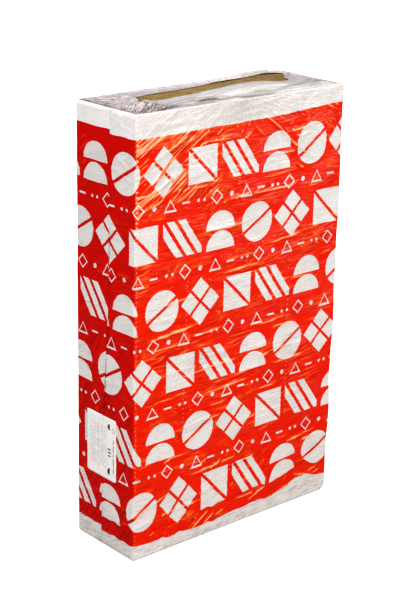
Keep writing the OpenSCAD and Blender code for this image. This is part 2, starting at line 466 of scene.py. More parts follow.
@dataclass(frozen=True)
class PrintedFilm:
    """Glossy shrink film with a white print of plain shapes on red, and bare white ends.

    Lengths are in metres on the web, whose UV map runs u round the pack and v up it. Its colour
    holds painted highlights on the film's crests, partly pale stretched film, and painted shade in
    its grooves, creases and crumples.
    """

    effects: Effects
    red: Colour = (0.81, 0.023, 0.001, 1)
    deep_red: Colour = (0.66, 0.004, 0.001, 1)
    shade_red: Colour = (0.40, 0.004, 0.001, 1)
    highlight_red: Colour = (0.92, 0.125, 0.012, 1)
    highlight_peach: Colour = (0.97, 0.54, 0.31, 1)
    white: Colour = (0.79, 0.765, 0.755, 1)
    grey: Colour = (0.41, 0.375, 0.35, 1)
    highlight_white: Colour = (0.97, 0.955, 0.94, 1)
    upper_band_white: Colour = (0.95, 0.93, 0.915, 1)
    dust: Colour = (0.30, 0.25, 0.19, 1)
    # Bunched film: greyer, partly clouded over the wool and partly painted shade of its crumples;
    # gathered_shade is the painted shade in them.
    gathered_film: Colour = (0.72, 0.64, 0.64, 1)
    gathered_shade: Colour = (0.13, 0.10, 0.095, 1)
    pinched_shade: Colour = (0.13, 0.10, 0.085, 1)
    top_band: float = 0.952
    foot_band: float = 0.040
    first_row: float = 0.043
    motif_pitch: float = 0.1075
    row_period: float = 0.1515
    motif: float = 0.0455
    slit: float = 0.0042
    small_pitch: float = 0.0430
    small_motif: float = 0.0150
    line: float = 0.0021
    ripple: float = 0.0058
    prick_pitch: float = 0.0108
    ray_middle: float = 0.283
    ray_top: float = 1.016
    #: Layers of stretch lines: how many a metre across and up, turn in degrees, strength, and how
    #: bare the patches are between them. The one stronger than 1 keeps to the near upper corner.
    # Each layer bumps the film and paints highlights on its crests and shade in the grooves beside them.
    line_layers = (
        (11, 95, -5, 0.66, 0.52),
        (22, 235, -8, 0.42, 0.47),
        (26, 140, -28, 0.66, 0.56),
        (24, 150, 24, 0.40, 0.60),
        (16, 210, -5, 0.26, 0.36),
        (7, 100, -33, 1.02, 0.44),
    )

    def material(self) -> Material:
        """Builds the film's material."""
        material, w, shader = new_material("Printed shrink film", 0.5)
        uv = w.uv("web")
        gathered, dense, crest, crease_shade = (w.attribute(mask) for mask in MASKS)
        printed = w.group(self._print_group(), Web=uv)["White"]
        marks = w.group(self._taut_group(), Web=uv)
        highlight, tone = marks["Highlight"], marks["Tone"]
        # Painted highlights: crests and stretch lines turn the red pale and light orange, partly as pale
        # stretched film; they are weaker on the narrow faces.
        bright = highest(highlight, crest) * (dense * -0.75 + 0.97)
        # Painted shade: the grooves beside the crests darken the red.
        red = w.mix(marks["Groove shade"] * 0.75, w.mix(dense, self.red, self.deep_red), self.shade_red)
        red = w.mix(w.ramp(bright, 0.0, 0.62), red, self.highlight_red)
        red = w.mix(w.ramp(bright, 0.52, 1.02), red, self.highlight_peach)
        # Grey marks on the white print: the wool's layers showing through, painted shade of the grooves, and
        # grey streaks near the foot.
        white = w.mix(tone * 0.50, self.white, self.grey)
        # Painted highlights on the white print.
        white = w.mix(highlight * 0.40, white, self.highlight_white)
        white = w.mix(w.group(self.effects.dust, Vector=uv, Amount=0.30)["Mask"], white, self.dust)
        # A lighter band near the top of the narrow faces.
        white = w.mix(marks["Bright"] * 0.5, white, self.upper_band_white)
        # Bunched film: lines and flecks of painted shade from its crumples.
        lines = w.ramp(w.streaks(uv, 150, 26, detail=3, roughness=0.6), 0.52, 0.60)
        flecks = w.ramp(w.streaks(uv, 230, 75), 0.58, 0.64)
        bunched = w.mix(highest(lines, flecks) * 0.80, self.gathered_film, self.gathered_shade)
        web = w.mix(gathered * 0.92, w.mix(printed, red, white), bunched)
        # Painted shade in the creases of the front flap.
        w.put(w.mix(crease_shade * 0.92, web, self.pinched_shade), shader["Base Color"])
        w.put(tone * 0.10 + 0.16, shader["Roughness"])
        w.put(0.28, shader["Specular IOR Level"])
        w.put(w.bump(marks["Height"], 0.0009), shader["Normal"])
        return material

    def _print_group(self) -> Tree:
        """The print: where the web is white, as rows of bold motifs with rows of small ones between."""
        w, given, out = new_group("Film print", {"Web": "vector"}, ("White",))
        u, v, _ = w.split(self._ragged(w, given["Web"]))
        row = (v - self.first_row) / self.row_period
        x, number = self._cell(u, row.floor(), self.motif_pitch, 0.5)
        bold = self._pick(self._bold_motifs(x, (row.fract() - 0.5) * self.row_period), number)
        row = row + 0.5
        x, number = self._cell(u, row.floor(), self.small_pitch, 0.0)
        small = self._pick(self._small_motifs(x, (row.fract() - 0.5) * self.row_period), number)
        small = small * between(v, self.first_row + 0.02, self.top_band - 0.018)
        w.put(highest(small, bold, v > self.top_band, v < self.foot_band), out["White"])
        return w.tree

    @staticmethod
    def _ragged(w: Wiring, web: Value) -> Socket:
        """The web's places, shaken a little along the film's stretch lines."""
        shake = w.streaks(web, 9, 190, -2, detail=3, roughness=0.6)
        sway = w.streaks(web, 16, 16, detail=1)
        moved = w.join(shake * 0.0052 - 0.0026, sway * 0.0036 - 0.0018)
        return w.fed("ShaderNodeVectorMath", {0: web, 1: moved}, operation="ADD").outputs[0]

    @staticmethod
    def _cell(u: Value, row: Value, pitch: float, drop: float) -> tuple[Value, Value]:
        """Place across a motif's cell, in metres from its middle, and the cell's number from 0 to 4.

        Args:
            u: Place round the web.
            row: Number of the row.
            pitch: Width of a cell.
            drop: Share of a cell that every other row is moved on.

        Returns:
            The place and the number.
        """
        place = u / pitch + ((row + 20.0) % 2.0 * drop + 80.3)
        return (place.fract() - 0.5) * pitch, (place.floor() + row * 3.0 + 100.0) % 5.0

    @staticmethod
    def _pick(masks: list[Value], number: Value) -> Value:
        """The mask whose place in the list is the cell's number."""
        total: object = 0.0
        for place, mask in enumerate(masks):
            total = mask * number.matches(float(place), 0.1) + total
        return total

    def _bold_motifs(self, x: Value, y: Value) -> list[Value]:
        """Masks of the bold motifs: split disc, four diamonds, split square, slats, half discs.

        Args:
            x: Place across the cell, from its middle.
            y: Place up it.

        Returns:
            One mask a motif.
        """
        size, slit = self.motif, self.slit
        left, up = abs(x), abs(y)
        disc = (distance(x, y) < size) * (abs(y - x * 0.6) > slit)
        diamonds = (left + up < size * 1.2) * (abs(left - up) > slit * 1.1)
        square = (highest(left, up) < size * 0.88) * (abs(x + y) > slit * 1.2)
        leaning = (y * 0.7 + x) / (size * 0.68)
        slats = ((leaning + 10.5).fract() < 0.66) * (abs(leaning + 0.17) < 1.5) * (up < size * 0.90)
        low = (y + size) % size - 0.002
        domes = (distance(x, low) < size * 0.90) * (up < size * 0.98) * (low > 0.0)
        return [disc, diamonds, square, slats, domes]

    def _small_motifs(self, x: Value, y: Value) -> list[Value]:
        """Masks of the small motifs: open diamond, dot, open triangle, short dash, two dots.

        Args:
            x: Place across the cell, from its middle.
            y: Place up it.

        Returns:
            One mask a motif.
        """
        size, line = self.small_motif, self.line
        left, up = abs(x), abs(y)
        diamond = abs(left + up - size) < line
        dot = distance(x, y) < size * 0.36
        triangle = abs(highest(left * 1.6 + y, y * -1.0) - size * 0.80) < line * 1.1
        dash = (left < size * 0.7) * (up < line * 1.1)
        return [diamond, dot, triangle, dash, distance(left - size * 0.55, y) < size * 0.24]

    def _taut_group(self) -> Tree:
        """Marks of the film drawn taut over wool: stretch lines in patches, and level ripples, with painted
        highlights and painted shade.

        Returns:
            A group whose outputs are the height, the painted highlights on the crests, the painted shade
            in the grooves, the grey marks where the film is white (the wool's layers showing through, the
            painted shade of the grooves and grey streaks near the foot), and a lighter band near the top of
            the narrow faces.
        """
        outputs = ("Height", "Highlight", "Groove shade", "Tone", "Bright")
        w, given, out = new_group("Taut film", {"Web": "vector"}, outputs)
        web = given["Web"]
        u, v, _ = w.split(web)
        near_corner = w.ramp(u, 0.262, 0.215) * w.ramp(v, 0.775, 0.825)
        height, highlight, groove_shade = 0.0, 0.0, 0.0
        for across, up, turn, share, bare in self.line_layers:
            band = w.streaks(web, across, up, turn, detail=1.0, roughness=0.4)
            keen = 9.0 if up < 110 else 11.0
            patch = w.ramp(w.streaks(web, across * 0.6, up * 0.13, turn, detail=1), bare, bare + 0.12) * share
            if share > 1:
                patch = patch * near_corner
            shown = self._crest_of(band, keen, 0.5) * patch
            height = shown + height
            highlight = highest(shown, highlight)
            groove_shade = highest(self._crest_of(band, keen, 0.373) * patch, groove_shade)
        highlight = highlight * (w.ramp(u, 0.28, 0.42) * -0.30 + 1.0)
        ray, gap = self._rays(w, u, v)
        groove_shade = highest(groove_shade, gap)
        ripple = (v * (2 * math.pi / self.ripple) + w.streaks(web, 7, 9) * 34.0).sine() * 0.5 + 0.5
        ripple = ripple * w.ramp(w.streaks(web, 26, 150, -4), 0.44, 0.62)
        ripple = ripple * (w.ramp(w.streaks(web, 5, 5, detail=1), 0.42, 0.60) * 0.7 + 0.3)
        ripple = ripple * (w.ramp(v, 0.86, 0.45) * 0.62 + 0.38)
        w.put(ripple * -0.16 + (ray * 0.8 + height), out["Height"])
        w.put(w.ramp(highest(highlight, ray, self._edge_ticks(w, u, v)), 0.0, 1.0), out["Highlight"])
        narrow_face = highest(w.ramp(u, -0.002, -0.010), w.ramp(u, 1.400, 1.410))
        w.put(narrow_face * w.ramp(v, 0.944, 0.956), out["Bright"])
        # Painted shade: lines in the grooves, broad patches, and dark lines on the narrow faces.
        shade = w.ramp(w.streaks(web, 10, 90, -5), 0.52, 0.74) * 0.6
        w.put(highest(groove_shade, shade, self._dark_lines(w, web, v) * narrow_face), out["Groove shade"])
        tone = highest(w.ramp(ripple, 0.15, 0.95), groove_shade * 0.75) * (w.ramp(v, 0.93, 0.96) * -0.35 + 1.0)
        # Grey streaks near the foot.
        foot_streaks = w.ramp(w.streaks(web, 30, 230, -12, detail=3, roughness=0.65), 0.50, 0.62)
        w.put(highest(tone, foot_streaks * w.ramp(v, 0.072, 0.040) * 1.25), out["Tone"])
        return w.tree

    @staticmethod
    def _crest_of(band: Value, keen: float, level: float) -> Value:
        """A line of width 2 / keen where a band of noise passes a level."""
        return band.wiring.math("SUBTRACT", 1.0, abs((band - level) * keen), clamp=True)

    @staticmethod
    def _dark_lines(w: Wiring, web: Value, v: Value) -> Value:
        """Dark slanting lines in patches, for the labelled narrow face, most of them low down."""
        slant = w.ramp(w.streaks(web, 10, 150, -54, detail=1.0), 0.50, 0.60)
        spread = w.ramp(w.streaks(web, 8, 14, -54, detail=1), 0.38, 0.50)
        return slant * spread * (w.ramp(v, 0.66, 0.38) * 0.75 + 0.25)

    def _rays(self, w: Wiring, u: Value, v: Value) -> list[Value]:
        """Painted highlights of fine rays on the bare top band, spread from the middle of the front's top
        edge, and painted shade in their gaps.

        Args:
            w: Wiring of the group.
            u: Place round the web.
            v: Height on it.

        Returns:
            Their mask and the gaps' mask.
        """
        aside, below = u - self.ray_middle, self.ray_top - v
        reach = distance(aside, below)
        band = w.noise(w.join(aside.angle_from(below) * 15.0, reach * 14.0))
        inside = w.ramp(v, 0.925, 0.965) * w.ramp(reach, 0.36, 0.20) * w.ramp(v, 1.016, 1.006)
        inside = inside * (w.ramp(u, 0.06, 0.20) * w.ramp(reach, 0.012, 0.03))
        return [self._crest_of(band, 12.0, level) * inside for level in (0.5, 0.383)]

    def _edge_ticks(self, w: Wiring, u: Value, v: Value) -> Value:
        """Painted highlight along the near upright edge, partly pale stretched film, scalloped by the holes
        pricked in it.
        """
        tick = w.ramp((v * (2 * math.pi / self.prick_pitch)).cosine(), 0.0, 0.9)
        inside = w.ramp(tick * 0.0045 + 0.0060 - u, -0.001, 0.002) * w.ramp(u, -0.0012, 0.0004)
        return inside * (tick * 0.50 + 0.50) * (w.ramp(v, 0.66, 0.82) * 0.50 + 0.42)


@dataclass(frozen=True)
class MineralWool:
    """Sawn mineral wool: matted brown-yellow fibres in layers, matt and a little darker in its pores.

    Under the film's back lip and at the right end of the mouth the wool is darkened with painted
    shade. The lip lies at lip_place behind the middle of the pack and goes back by lip_slope of
    the way to the right.
    """

    effects: Effects
    light: Colour = (0.45, 0.283, 0.102, 1)
    dark: Colour = (0.125, 0.070, 0.020, 1)
    dust: Colour = (0.62, 0.49, 0.29, 1)
    lip_place: float = 0.0675
    lip_slope: float = 0.108

    def material(self) -> Material:
        """Builds the wool's material."""
        material, w, shader = new_material("Mineral wool", 0.95)
        place = w.place()
        matted = w.group(self.effects.fibres, Vector=place, Fineness=1.0, Layering=0.5)
        colour = w.mix(w.ramp(matted["Tone"], 0.30, 0.78), self.dark, self.light)
        # Painted shade under the film's back lip and at the right end of the mouth.
        colour = w.mix(self._painted_shade(w, place) * 0.62, colour, self.dark)
        dust = w.group(self.effects.dust, Vector=place, Amount=0.4)["Mask"]
        w.put(w.mix(dust, colour, self.dust), shader["Base Color"])
        w.put(0.15, shader["Specular IOR Level"])
        w.put(w.bump(matted["Height"], 0.0022), shader["Normal"])
        return material

    def _painted_shade(self, w: Wiring, place: Socket) -> Value:
        """Painted shade: where the wool is darkened under the film's back lip and at the right end of the
        mouth.
        """
        x, y, _ = w.split(place)
        back = w.ramp(x * -self.lip_slope + y, self.lip_place - 0.013, self.lip_place)
        return highest(back, w.ramp(x, 0.15, 0.25) * 0.8)


@dataclass(frozen=True)
class CloudedFinish:
    """A plain finish whose colour goes between two in fine clouds."""

    name: str
    first: Colour
    second: Colour
    scale: float
    roughness: float

    def material(self) -> Material:
        """Builds the material."""
        material, w, shader = new_material(self.name, self.roughness)
        w.put(w.mix(w.noise(w.place(), scale=self.scale), self.first, self.second), shader["Base Color"])
        return material


LOOSE_FIBRE = CloudedFinish("Loose wool fibre", (0.40, 0.28, 0.13, 1), (0.72, 0.58, 0.36, 1), 55.0, 0.8)
VENT_RIM = CloudedFinish("Pricked film rim", (0.72, 0.40, 0.34, 1), (0.86, 0.74, 0.70, 1), 300.0, 0.35)


@dataclass(frozen=True)
class LabelPaper:
    """Off-white label paper printed with plain rules, bars and discs.

    The print runs down the label: along goes from its top edge to its foot, and up from its left
    edge to its right. The UV map gives both in metres.
    """

    effects: Effects
    width: float
    height: float
    paper: Colour = (0.93, 0.915, 0.90, 1)
    worn: Colour = (0.84, 0.82, 0.79, 1)
    ink: Colour = (0.012, 0.012, 0.014, 1)
    dust: Colour = (0.60, 0.54, 0.46, 1)
    marks_from_right: float = 0.022
    margin: float = 0.012
    row: float = 0.0052
    dash: float = 0.0024
    #: Half discs and a ring: place along, place above the marks' level, radius, hole and density.
    discs = (
        (0.021, 0.0, 0.0072, -1.0, 1.0),
        (0.127, 0.0, 0.0080, -1.0, 1.0),
        (0.026, 0.013, 0.0058, 0.0042, 0.55),
    )

    def material(self) -> Material:
        """Builds the label's material."""
        material, w, shader = new_material("Label paper", 0.55)
        uv = w.uv("sheet")
        up, from_foot, _ = w.split(uv)
        along = self.height - from_foot
        ink = highest(self._lines(w, along, up), self._discs(along, up))
        for x0, y0, x1, y1, density in self._boxes():
            ink = highest(ink, between(along, x0, x1) * between(up, y0, y1) * density)
        grain = w.noise(uv, scale=900.0, detail=3)
        colour = w.mix(ink, w.mix(grain * 0.3, self.paper, self.worn), self.ink)
        dust = w.group(self.effects.dust, Vector=uv, Amount=0.2)["Mask"]
        w.put(w.mix(dust, colour, self.dust), shader["Base Color"])
        w.put(w.bump(grain, 0.00008), shader["Normal"])
        return material

    def _lines(self, w: Wiring, along: Value, up: Value) -> Value:
        """Rows of short grey bars that run down the label, broken up by noise along each row.

        Args:
            w: Wiring of the material.
            along: Way down the label.
            up: Way across it.

        Returns:
            Density of the ink.
        """
        row = up / self.row
        spot = w.join((along / self.dash).floor(), row.floor())
        chance = w.fed("ShaderNodeTexWhiteNoise", {"Vector": spot}, noise_dimensions="2D").outputs["Value"]
        block = between(along, 2 * self.margin, self.height - 2 * self.margin) * (row.fract() < 0.34)
        body = between(up, self.margin, self.width - self.marks_from_right - 0.011) * block
        return body * (Value(w, chance) > 0.30) * 0.40

    def _discs(self, along: Value, up: Value) -> Value:
        """A ring and two black half discs in a column near the label's right edge.

        Args:
            along: Way down the label.
            up: Way across it.

        Returns:
            Density of the ink.
        """
        ink: object = 0.0
        for middle, above, radius, hole, density in self.discs:
            x, y = along - middle, up - (self.width - self.marks_from_right + above)
            disc = between(distance(x, y), hole, radius) * density
            ink = highest(disc * (y < 0.0) if hole < 0 else disc, ink)
        return ink

    def _boxes(self) -> list[tuple[float, float, float, float, float]]:
        """Plain bars of ink: the table's rules, a title of broken bars, and three upright black bars."""
        near, far = self.margin, self.height - self.margin
        level = self.width - self.marks_from_right
        words = ((0.048, 0.010), (0.061, 0.017), (0.081, 0.008), (0.092, 0.021), (0.116, 0.012))
        rules = [(near, y, far, y + 0.0007, 0.35) for y in (0.010, 0.026, 0.042, 0.058, 0.074)]
        columns = [(x, 0.010, x + 0.0006, 0.074, 0.30) for x in (near, 0.046, 0.074, 0.104, far)]
        bars = [(x, level - 0.006, x + 0.0032, level + 0.004, 0.95) for x in (0.072, 0.080, 0.088)]
        title = [(x, level + 0.011, x + length, level + 0.0145, 0.60) for x, length in words]
        return rules + columns + bars + title


# ---- The film sleeve ----


@dataclass(frozen=True)
class Sleeve:
    """The plain shape of the sleeve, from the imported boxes: all lengths in metres.

    mouth_low and mouth_high are the corners of both mouths in plan, lap is how far in front of its
    edge the front web lies double, and step is how far it stands out there.
    """

    half_x: float
    half_y: float
    top: float
    edge_radius: float = 0.0057
    fold_radius: float = 0.0042
    corner_radius: float = 0.0077
    crushed_radius: float = 0.0227
    mouth_low: tuple[float, float] = (-0.195, -0.020)
    mouth_high: tuple[float, float] = (0.245, 0.065)
    mouth_radius: float = 0.038
    upper_mouth_radius: float = 0.01596
    lap: float = 0.040
    step: float = 0.0005

    def mouth_shift(self, x: Array, y: Array) -> Array:
        """How far the upper mouth's real outline lies off its plain one, as it runs askew to the back.

        Args:
            x: X of places on the plain outline.
            y: Their y.

        Returns:
            Shifts in x and y in the last axis.
        """
        near = table(
            x, [-205, -170, -130, -90, -40, 0, 40, 80, 125, 166, 210, 245],
            [-4, 1, 2, -3, 2, 3, 13, 20, 6, -3, 3, 28],
        )
        far = table(
            x, [-195, -150, -60, 0, 70, 175, 215, 245],
            [-30, -14, -8, -3, 13, 21, 25, 22],
        )
        share = smoothstep(self.mouth_low[1], self.mouth_high[1], y)
        left = smoothstep(-0.155, -0.195, x) * (-0.003 - 0.022 * (1 - share))
        right = smoothstep(0.19, 0.240, x) * (0.031 - 0.045 * (1 - share))
        return np.stack([left + right, near + (far - near) * share], axis=-1)

    @property
    def girth(self) -> float:
        """Way round the web, counted without its rounded edges."""
        return 4 * (self.half_x + self.half_y)

    @property
    def edges(self) -> tuple[float, float, float, float]:
        """Places round the web of the upright edges: front left, front right, back right, back left."""
        wide, deep = 2 * self.half_x, 2 * self.half_y
        return 0.0, wide, wide + deep, 2 * wide + deep


def inset(radius: float, depth: Array) -> Array:
    """How far a rounding of that radius has come in, at a depth from the end it rounds."""
    gap = np.clip(radius - depth, 0.0, radius)
    return radius - np.sqrt(np.maximum(radius**2 - gap**2, 0.0))


@dataclass(frozen=True)
class Fold:
    """A crease in the taut film: a sharp ridge along a slightly bowed line on the web."""

    u0: float
    v0: float
    u1: float
    v1: float
    height: float
    width: float
    bow: float = 0.0

    def add_to(self, total: Array, u: Array, v: Array, girth: float) -> None:
        """Adds this fold's height to the places that it reaches.

        Args:
            total: Outward heights so far, flat, changed in place.
            u: Places round the web, flat.
            v: Heights on the web, flat.
            girth: Where u starts again.
        """
        run, rise = self.u1 - self.u0, self.v1 - self.v0
        length = math.hypot(run, rise)
        spread = abs(self.bow) + 5.0 * self.width
        du = (u - (self.u0 + run / 2) + girth / 2) % girth - girth / 2
        dv = v - (self.v0 + rise / 2)
        near = np.nonzero((np.abs(du) < abs(run) / 2 + spread) & (np.abs(dv) < abs(rise) / 2 + spread))[0]
        if not len(near):
            return
        du, dv = du[near], dv[near]
        along = (du * run + dv * rise) / length**2 + 0.5
        arch = np.clip(4 * along * (1 - along), 0.0, 1.0)
        away = (dv * run - du * rise) / length - self.bow * arch
        taper = arch**0.8
        width = self.width * (0.45 + 0.55 * taper)
        ridge = np.exp(-np.sqrt(away**2 + (0.3 * width) ** 2) / (0.62 * width)) * 1.62
        beside, reach = 2.1 * self.width, 1.3 * self.width
        trough = bell(away, beside, reach) + bell(away, -beside, reach)
        total[near] += self.height * taper * (ridge - 0.22 * trough)


@dataclass
class Creases:
    """Every crease of the sleeve, and the finer waves between them, as one outward relief."""

    sleeve: Sleeve
    seed: int = 11
    deepest: float = 0.00034
    folds: list[Fold] = field(init=False)

    def __post_init__(self) -> None:
        """Designs the creases, from the boldest to the faintest."""
        self.rng = np.random.default_rng(self.seed)
        self.draw = self.rng.uniform
        designs = (
            self._front_folds, self._fan_streaks, self._crinkles, self._top_rays,
            self._corner_fans, self._stretch_lines, self._short_creases,
        )
        self.folds = [fold for design in designs for fold in design()]

    def _on_front(self, rows: list[tuple[float, ...]]) -> list[Fold]:
        """Folds whose ends are given across and up the front face, with height, width and bow."""
        shift = self.sleeve.half_x
        return [Fold(x0 + shift, z0, x1 + shift, z1, *rest) for x0, z0, x1, z1, *rest in rows]

    @staticmethod
    def _about(u: float, v: float, angle: float, length: float, height: float, width: float) -> Fold:
        """A straight fold about a place on the web, at an angle in radians from level."""
        du, dv = math.cos(angle) * length / 2, math.sin(angle) * length / 2
        return Fold(u - du, v - dv, u + du, v + dv, height, width)

    def _front_folds(self) -> list[Fold]:
        """The creases that stand out on the front face, made one by one, from tables in millimetres."""
        upper_left = [
            (-301, 824, -226, 842, 4.6, 5.4, -1), (-240, 834, -170, 870, 4.6, 5.6, 3),
            (-262, 846, -196, 884, 2, 3.8, 2), (-296, 872, -162, 940, 3.2, 4.4, 2),
            (-298, 905, -218, 951, 1.9, 3.6, 1), (-190, 876, -108, 930, 2, 4, -2),
            (-172, 902, -92, 952, 1.7, 3.6, 1), (-298, 790, -215, 815, 1.6, 4.2, 1),
            (-160, 838, -85, 872, 1.4, 3.8, 1),
        ]
        long_crease = [
            (58, 958, 124, 906, 3.6, 4.2, 2), (112, 915, 208, 847, 3.3, 4.2, -3),
            (28, 940, 60, 910, 1.7, 3.6, 1), (178, 930, 224, 903, 1.4, 3.6, 0),
            (226, 902, 286, 871, 1.3, 3.6, 1), (150, 846, 192, 817, 1.3, 3.6, 0),
        ]
        low = [
            (-296, 102, -248, 128, 2.2, 3.8, 1), (-266, 117, -200, 140, 1.9, 3.8, -1),
            (-298, 80, -250, 87, 1.6, 3.6, 0), (-134, 25, -80, 60, 2, 3.8, 1),
            (-98, 29, -58, 52, 1.5, 3.4, 0), (38, 45, 98, 69, 2, 3.8, 1),
            (130, 40, 190, 52, 1.5, 3.6, 0), (182, 73, 264, 46, 1.6, 3.8, 1),
        ]
        return self._on_front((np.array(upper_left + long_crease + low) * MM).tolist())

    def _fan_streaks(self) -> Iterator[Fold]:
        """Fine parallel streaks pulled up from the near upright edge towards the top."""
        for _ in range(44):
            x, z = self.draw(-0.290, -0.090), self.draw(0.800, 0.965)
            angle = 0.54 + self.rng.normal(0, 0.07)
            length = self.draw(0.035, 0.105)
            height = self.draw(0.0007, 0.0017) * (1.0 if z < 0.95 else 0.55)
            yield self._about(x + self.sleeve.half_x, z, angle, length, height, self.draw(0.0020, 0.0030))

    def _crinkles(self) -> Iterator[Fold]:
        """A patch of short crossing creases, where the film has shrunk unevenly."""
        for _ in range(60):
            x, z = self.draw(-0.100, 0.012), self.draw(0.775, 0.952)
            angle = self.rng.choice([0.45, -0.9, 1.2]) + self.rng.normal(0, 0.25)
            length = self.draw(0.012, 0.036)
            height = self.draw(0.0008, 0.0019) * (0.45 + 0.65 * min(max(z - 0.80, 0.0) / 0.10, 1.0))
            yield self._about(x + self.sleeve.half_x, z, angle, length, height, 0.0030)

    def _top_rays(self) -> Iterator[Fold]:
        """Soft rays on the white band, spread from the middle of the front edge of the top."""
        rays = 15
        for k in range(rays):
            spread = -1.0 + 2.2 * k / (rays - 1) + self.rng.normal(0, 0.04)
            x0, z0 = -0.040 + 0.045 * spread, self.sleeve.top + 0.010
            reach = self.draw(0.042, 0.075)
            x1 = x0 + 0.120 * spread + self.rng.normal(0, 0.004)
            height, width = self.draw(0.0004, 0.0008), self.draw(0.0024, 0.0034)
            yield from self._on_front([(x0, z0, x1, z0 - reach, height, width, 0.001)])
        for _ in range(16):
            x, z = self.draw(-0.275, -0.095), self.draw(0.955, 0.995)
            angle = 0.72 + self.rng.normal(0, 0.12)
            yield self._about(x + self.sleeve.half_x, z, angle, self.draw(0.02, 0.05), 0.0005, 0.0026)

    def _corner_fans(self) -> Iterator[Fold]:
        """Creases that run off each corner of the pack, where the sleeve folds over its ends."""
        top = self.sleeve.top
        corners = [
            (u, side, upper)
            for number, u in enumerate(self.sleeve.edges) for side in (-1, 1) for upper in (True, False)
            if not (upper and number == 0 and side == 1)
        ]
        for u, side, upper in corners:
            for _ in range(7 if upper else 4):
                reach, start, slope = self.draw(0.03, 0.085), self.draw(0.012, 0.15), self.draw(0.25, 0.75)
                z1 = top - start if upper else start * 0.8
                z0 = z1 + reach * slope * (-1 if upper else 0.5)
                height, width = self.draw(0.0007, 0.0017), self.draw(0.0030, 0.0046)
                yield Fold(u + side * 0.006, z0, u + side * reach, z1, height, width, 0.001)

    def _stretch_lines(self) -> Iterator[Fold]:
        """Long, nearly level lines of the web's own stretch on every face."""
        edges = (*self.sleeve.edges, self.sleeve.girth)
        for low, high, count in zip(edges, edges[1:], (170, 44, 110, 22)):
            for _ in range(count):
                length = min(self.draw(0.04, 0.19), (high - low) * 0.9)
                u = self.draw(low + 0.004, high - 0.004 - length)
                v = self.draw(0.03, 0.80) if self.rng.random() < 0.76 else self.draw(0.80, 0.985)
                slope = self.rng.normal(0.055, 0.05)
                height, width = self.draw(0.00035, 0.00110), self.draw(0.0030, 0.0055)
                bow = self.rng.normal(0, 0.0015)
                yield Fold(u, v, u + length, v + slope * length, height, width, bow)

    def _short_creases(self) -> Iterator[Fold]:
        """Short diagonal creases scattered over the narrow faces and the back."""
        _, right, back, rear_left = self.sleeve.edges
        end = self.sleeve.girth
        for low, high, bottom, top, count, tilt in (
            (rear_left + 0.006, end - 0.006, 0.05, 0.60, 46, -0.55),
            (right + 0.006, back - 0.006, 0.05, 0.95, 34, 0.5),
            (back + 0.01, rear_left - 0.01, 0.05, 0.96, 56, -0.35),
            (0.02, right - 0.02, 0.03, 0.22, 26, 0.35),
            (right - 0.14, right - 0.01, 0.60, 0.95, 16, -0.45),
        ):
            for _ in range(count):
                u, v = self.draw(low, high), self.draw(bottom, top)
                angle = self.rng.normal(tilt, 0.22)
                length = self.draw(0.018, 0.055)
                height, width = self.draw(0.0004, 0.0012), self.draw(0.0026, 0.0038)
                yield self._about(u, v, angle, length, height, width)

    def relief(self, u: Array, v: Array) -> Array:
        """Outward relief of the film.

        Args:
            u: Places round the web.
            v: Heights on the web.

        Returns:
            Outward heights in metres, in the shape of u.
        """
        shape = u.shape
        u, v = u.ravel(), np.broadcast_to(v, shape).ravel()
        height = np.zeros(u.shape)
        for fold in self.folds:
            fold.add_to(height, u, v, self.sleeve.girth)
        waves = lattice_noise(u * 9 + 3, v * 24, 5) - 0.5
        right_edge = bell(u, self.sleeve.edges[1], 0.030) * smoothstep(0.97, 0.88, v)
        height += 0.0042 * (lattice_noise(v * 17, u * 0, 7) - 0.35) * right_edge
        ripples = crumple(u * 26, v * 80, 9) - 0.45
        height += 0.0012 * waves + 0.0005 * (1 + smoothstep(0.80, 0.96, v)) * ripples
        height = np.where(height > 0, height, -self.deepest * np.tanh(-height / self.deepest))
        return (height * smoothstep(0.0, 0.018, v)).reshape(shape)


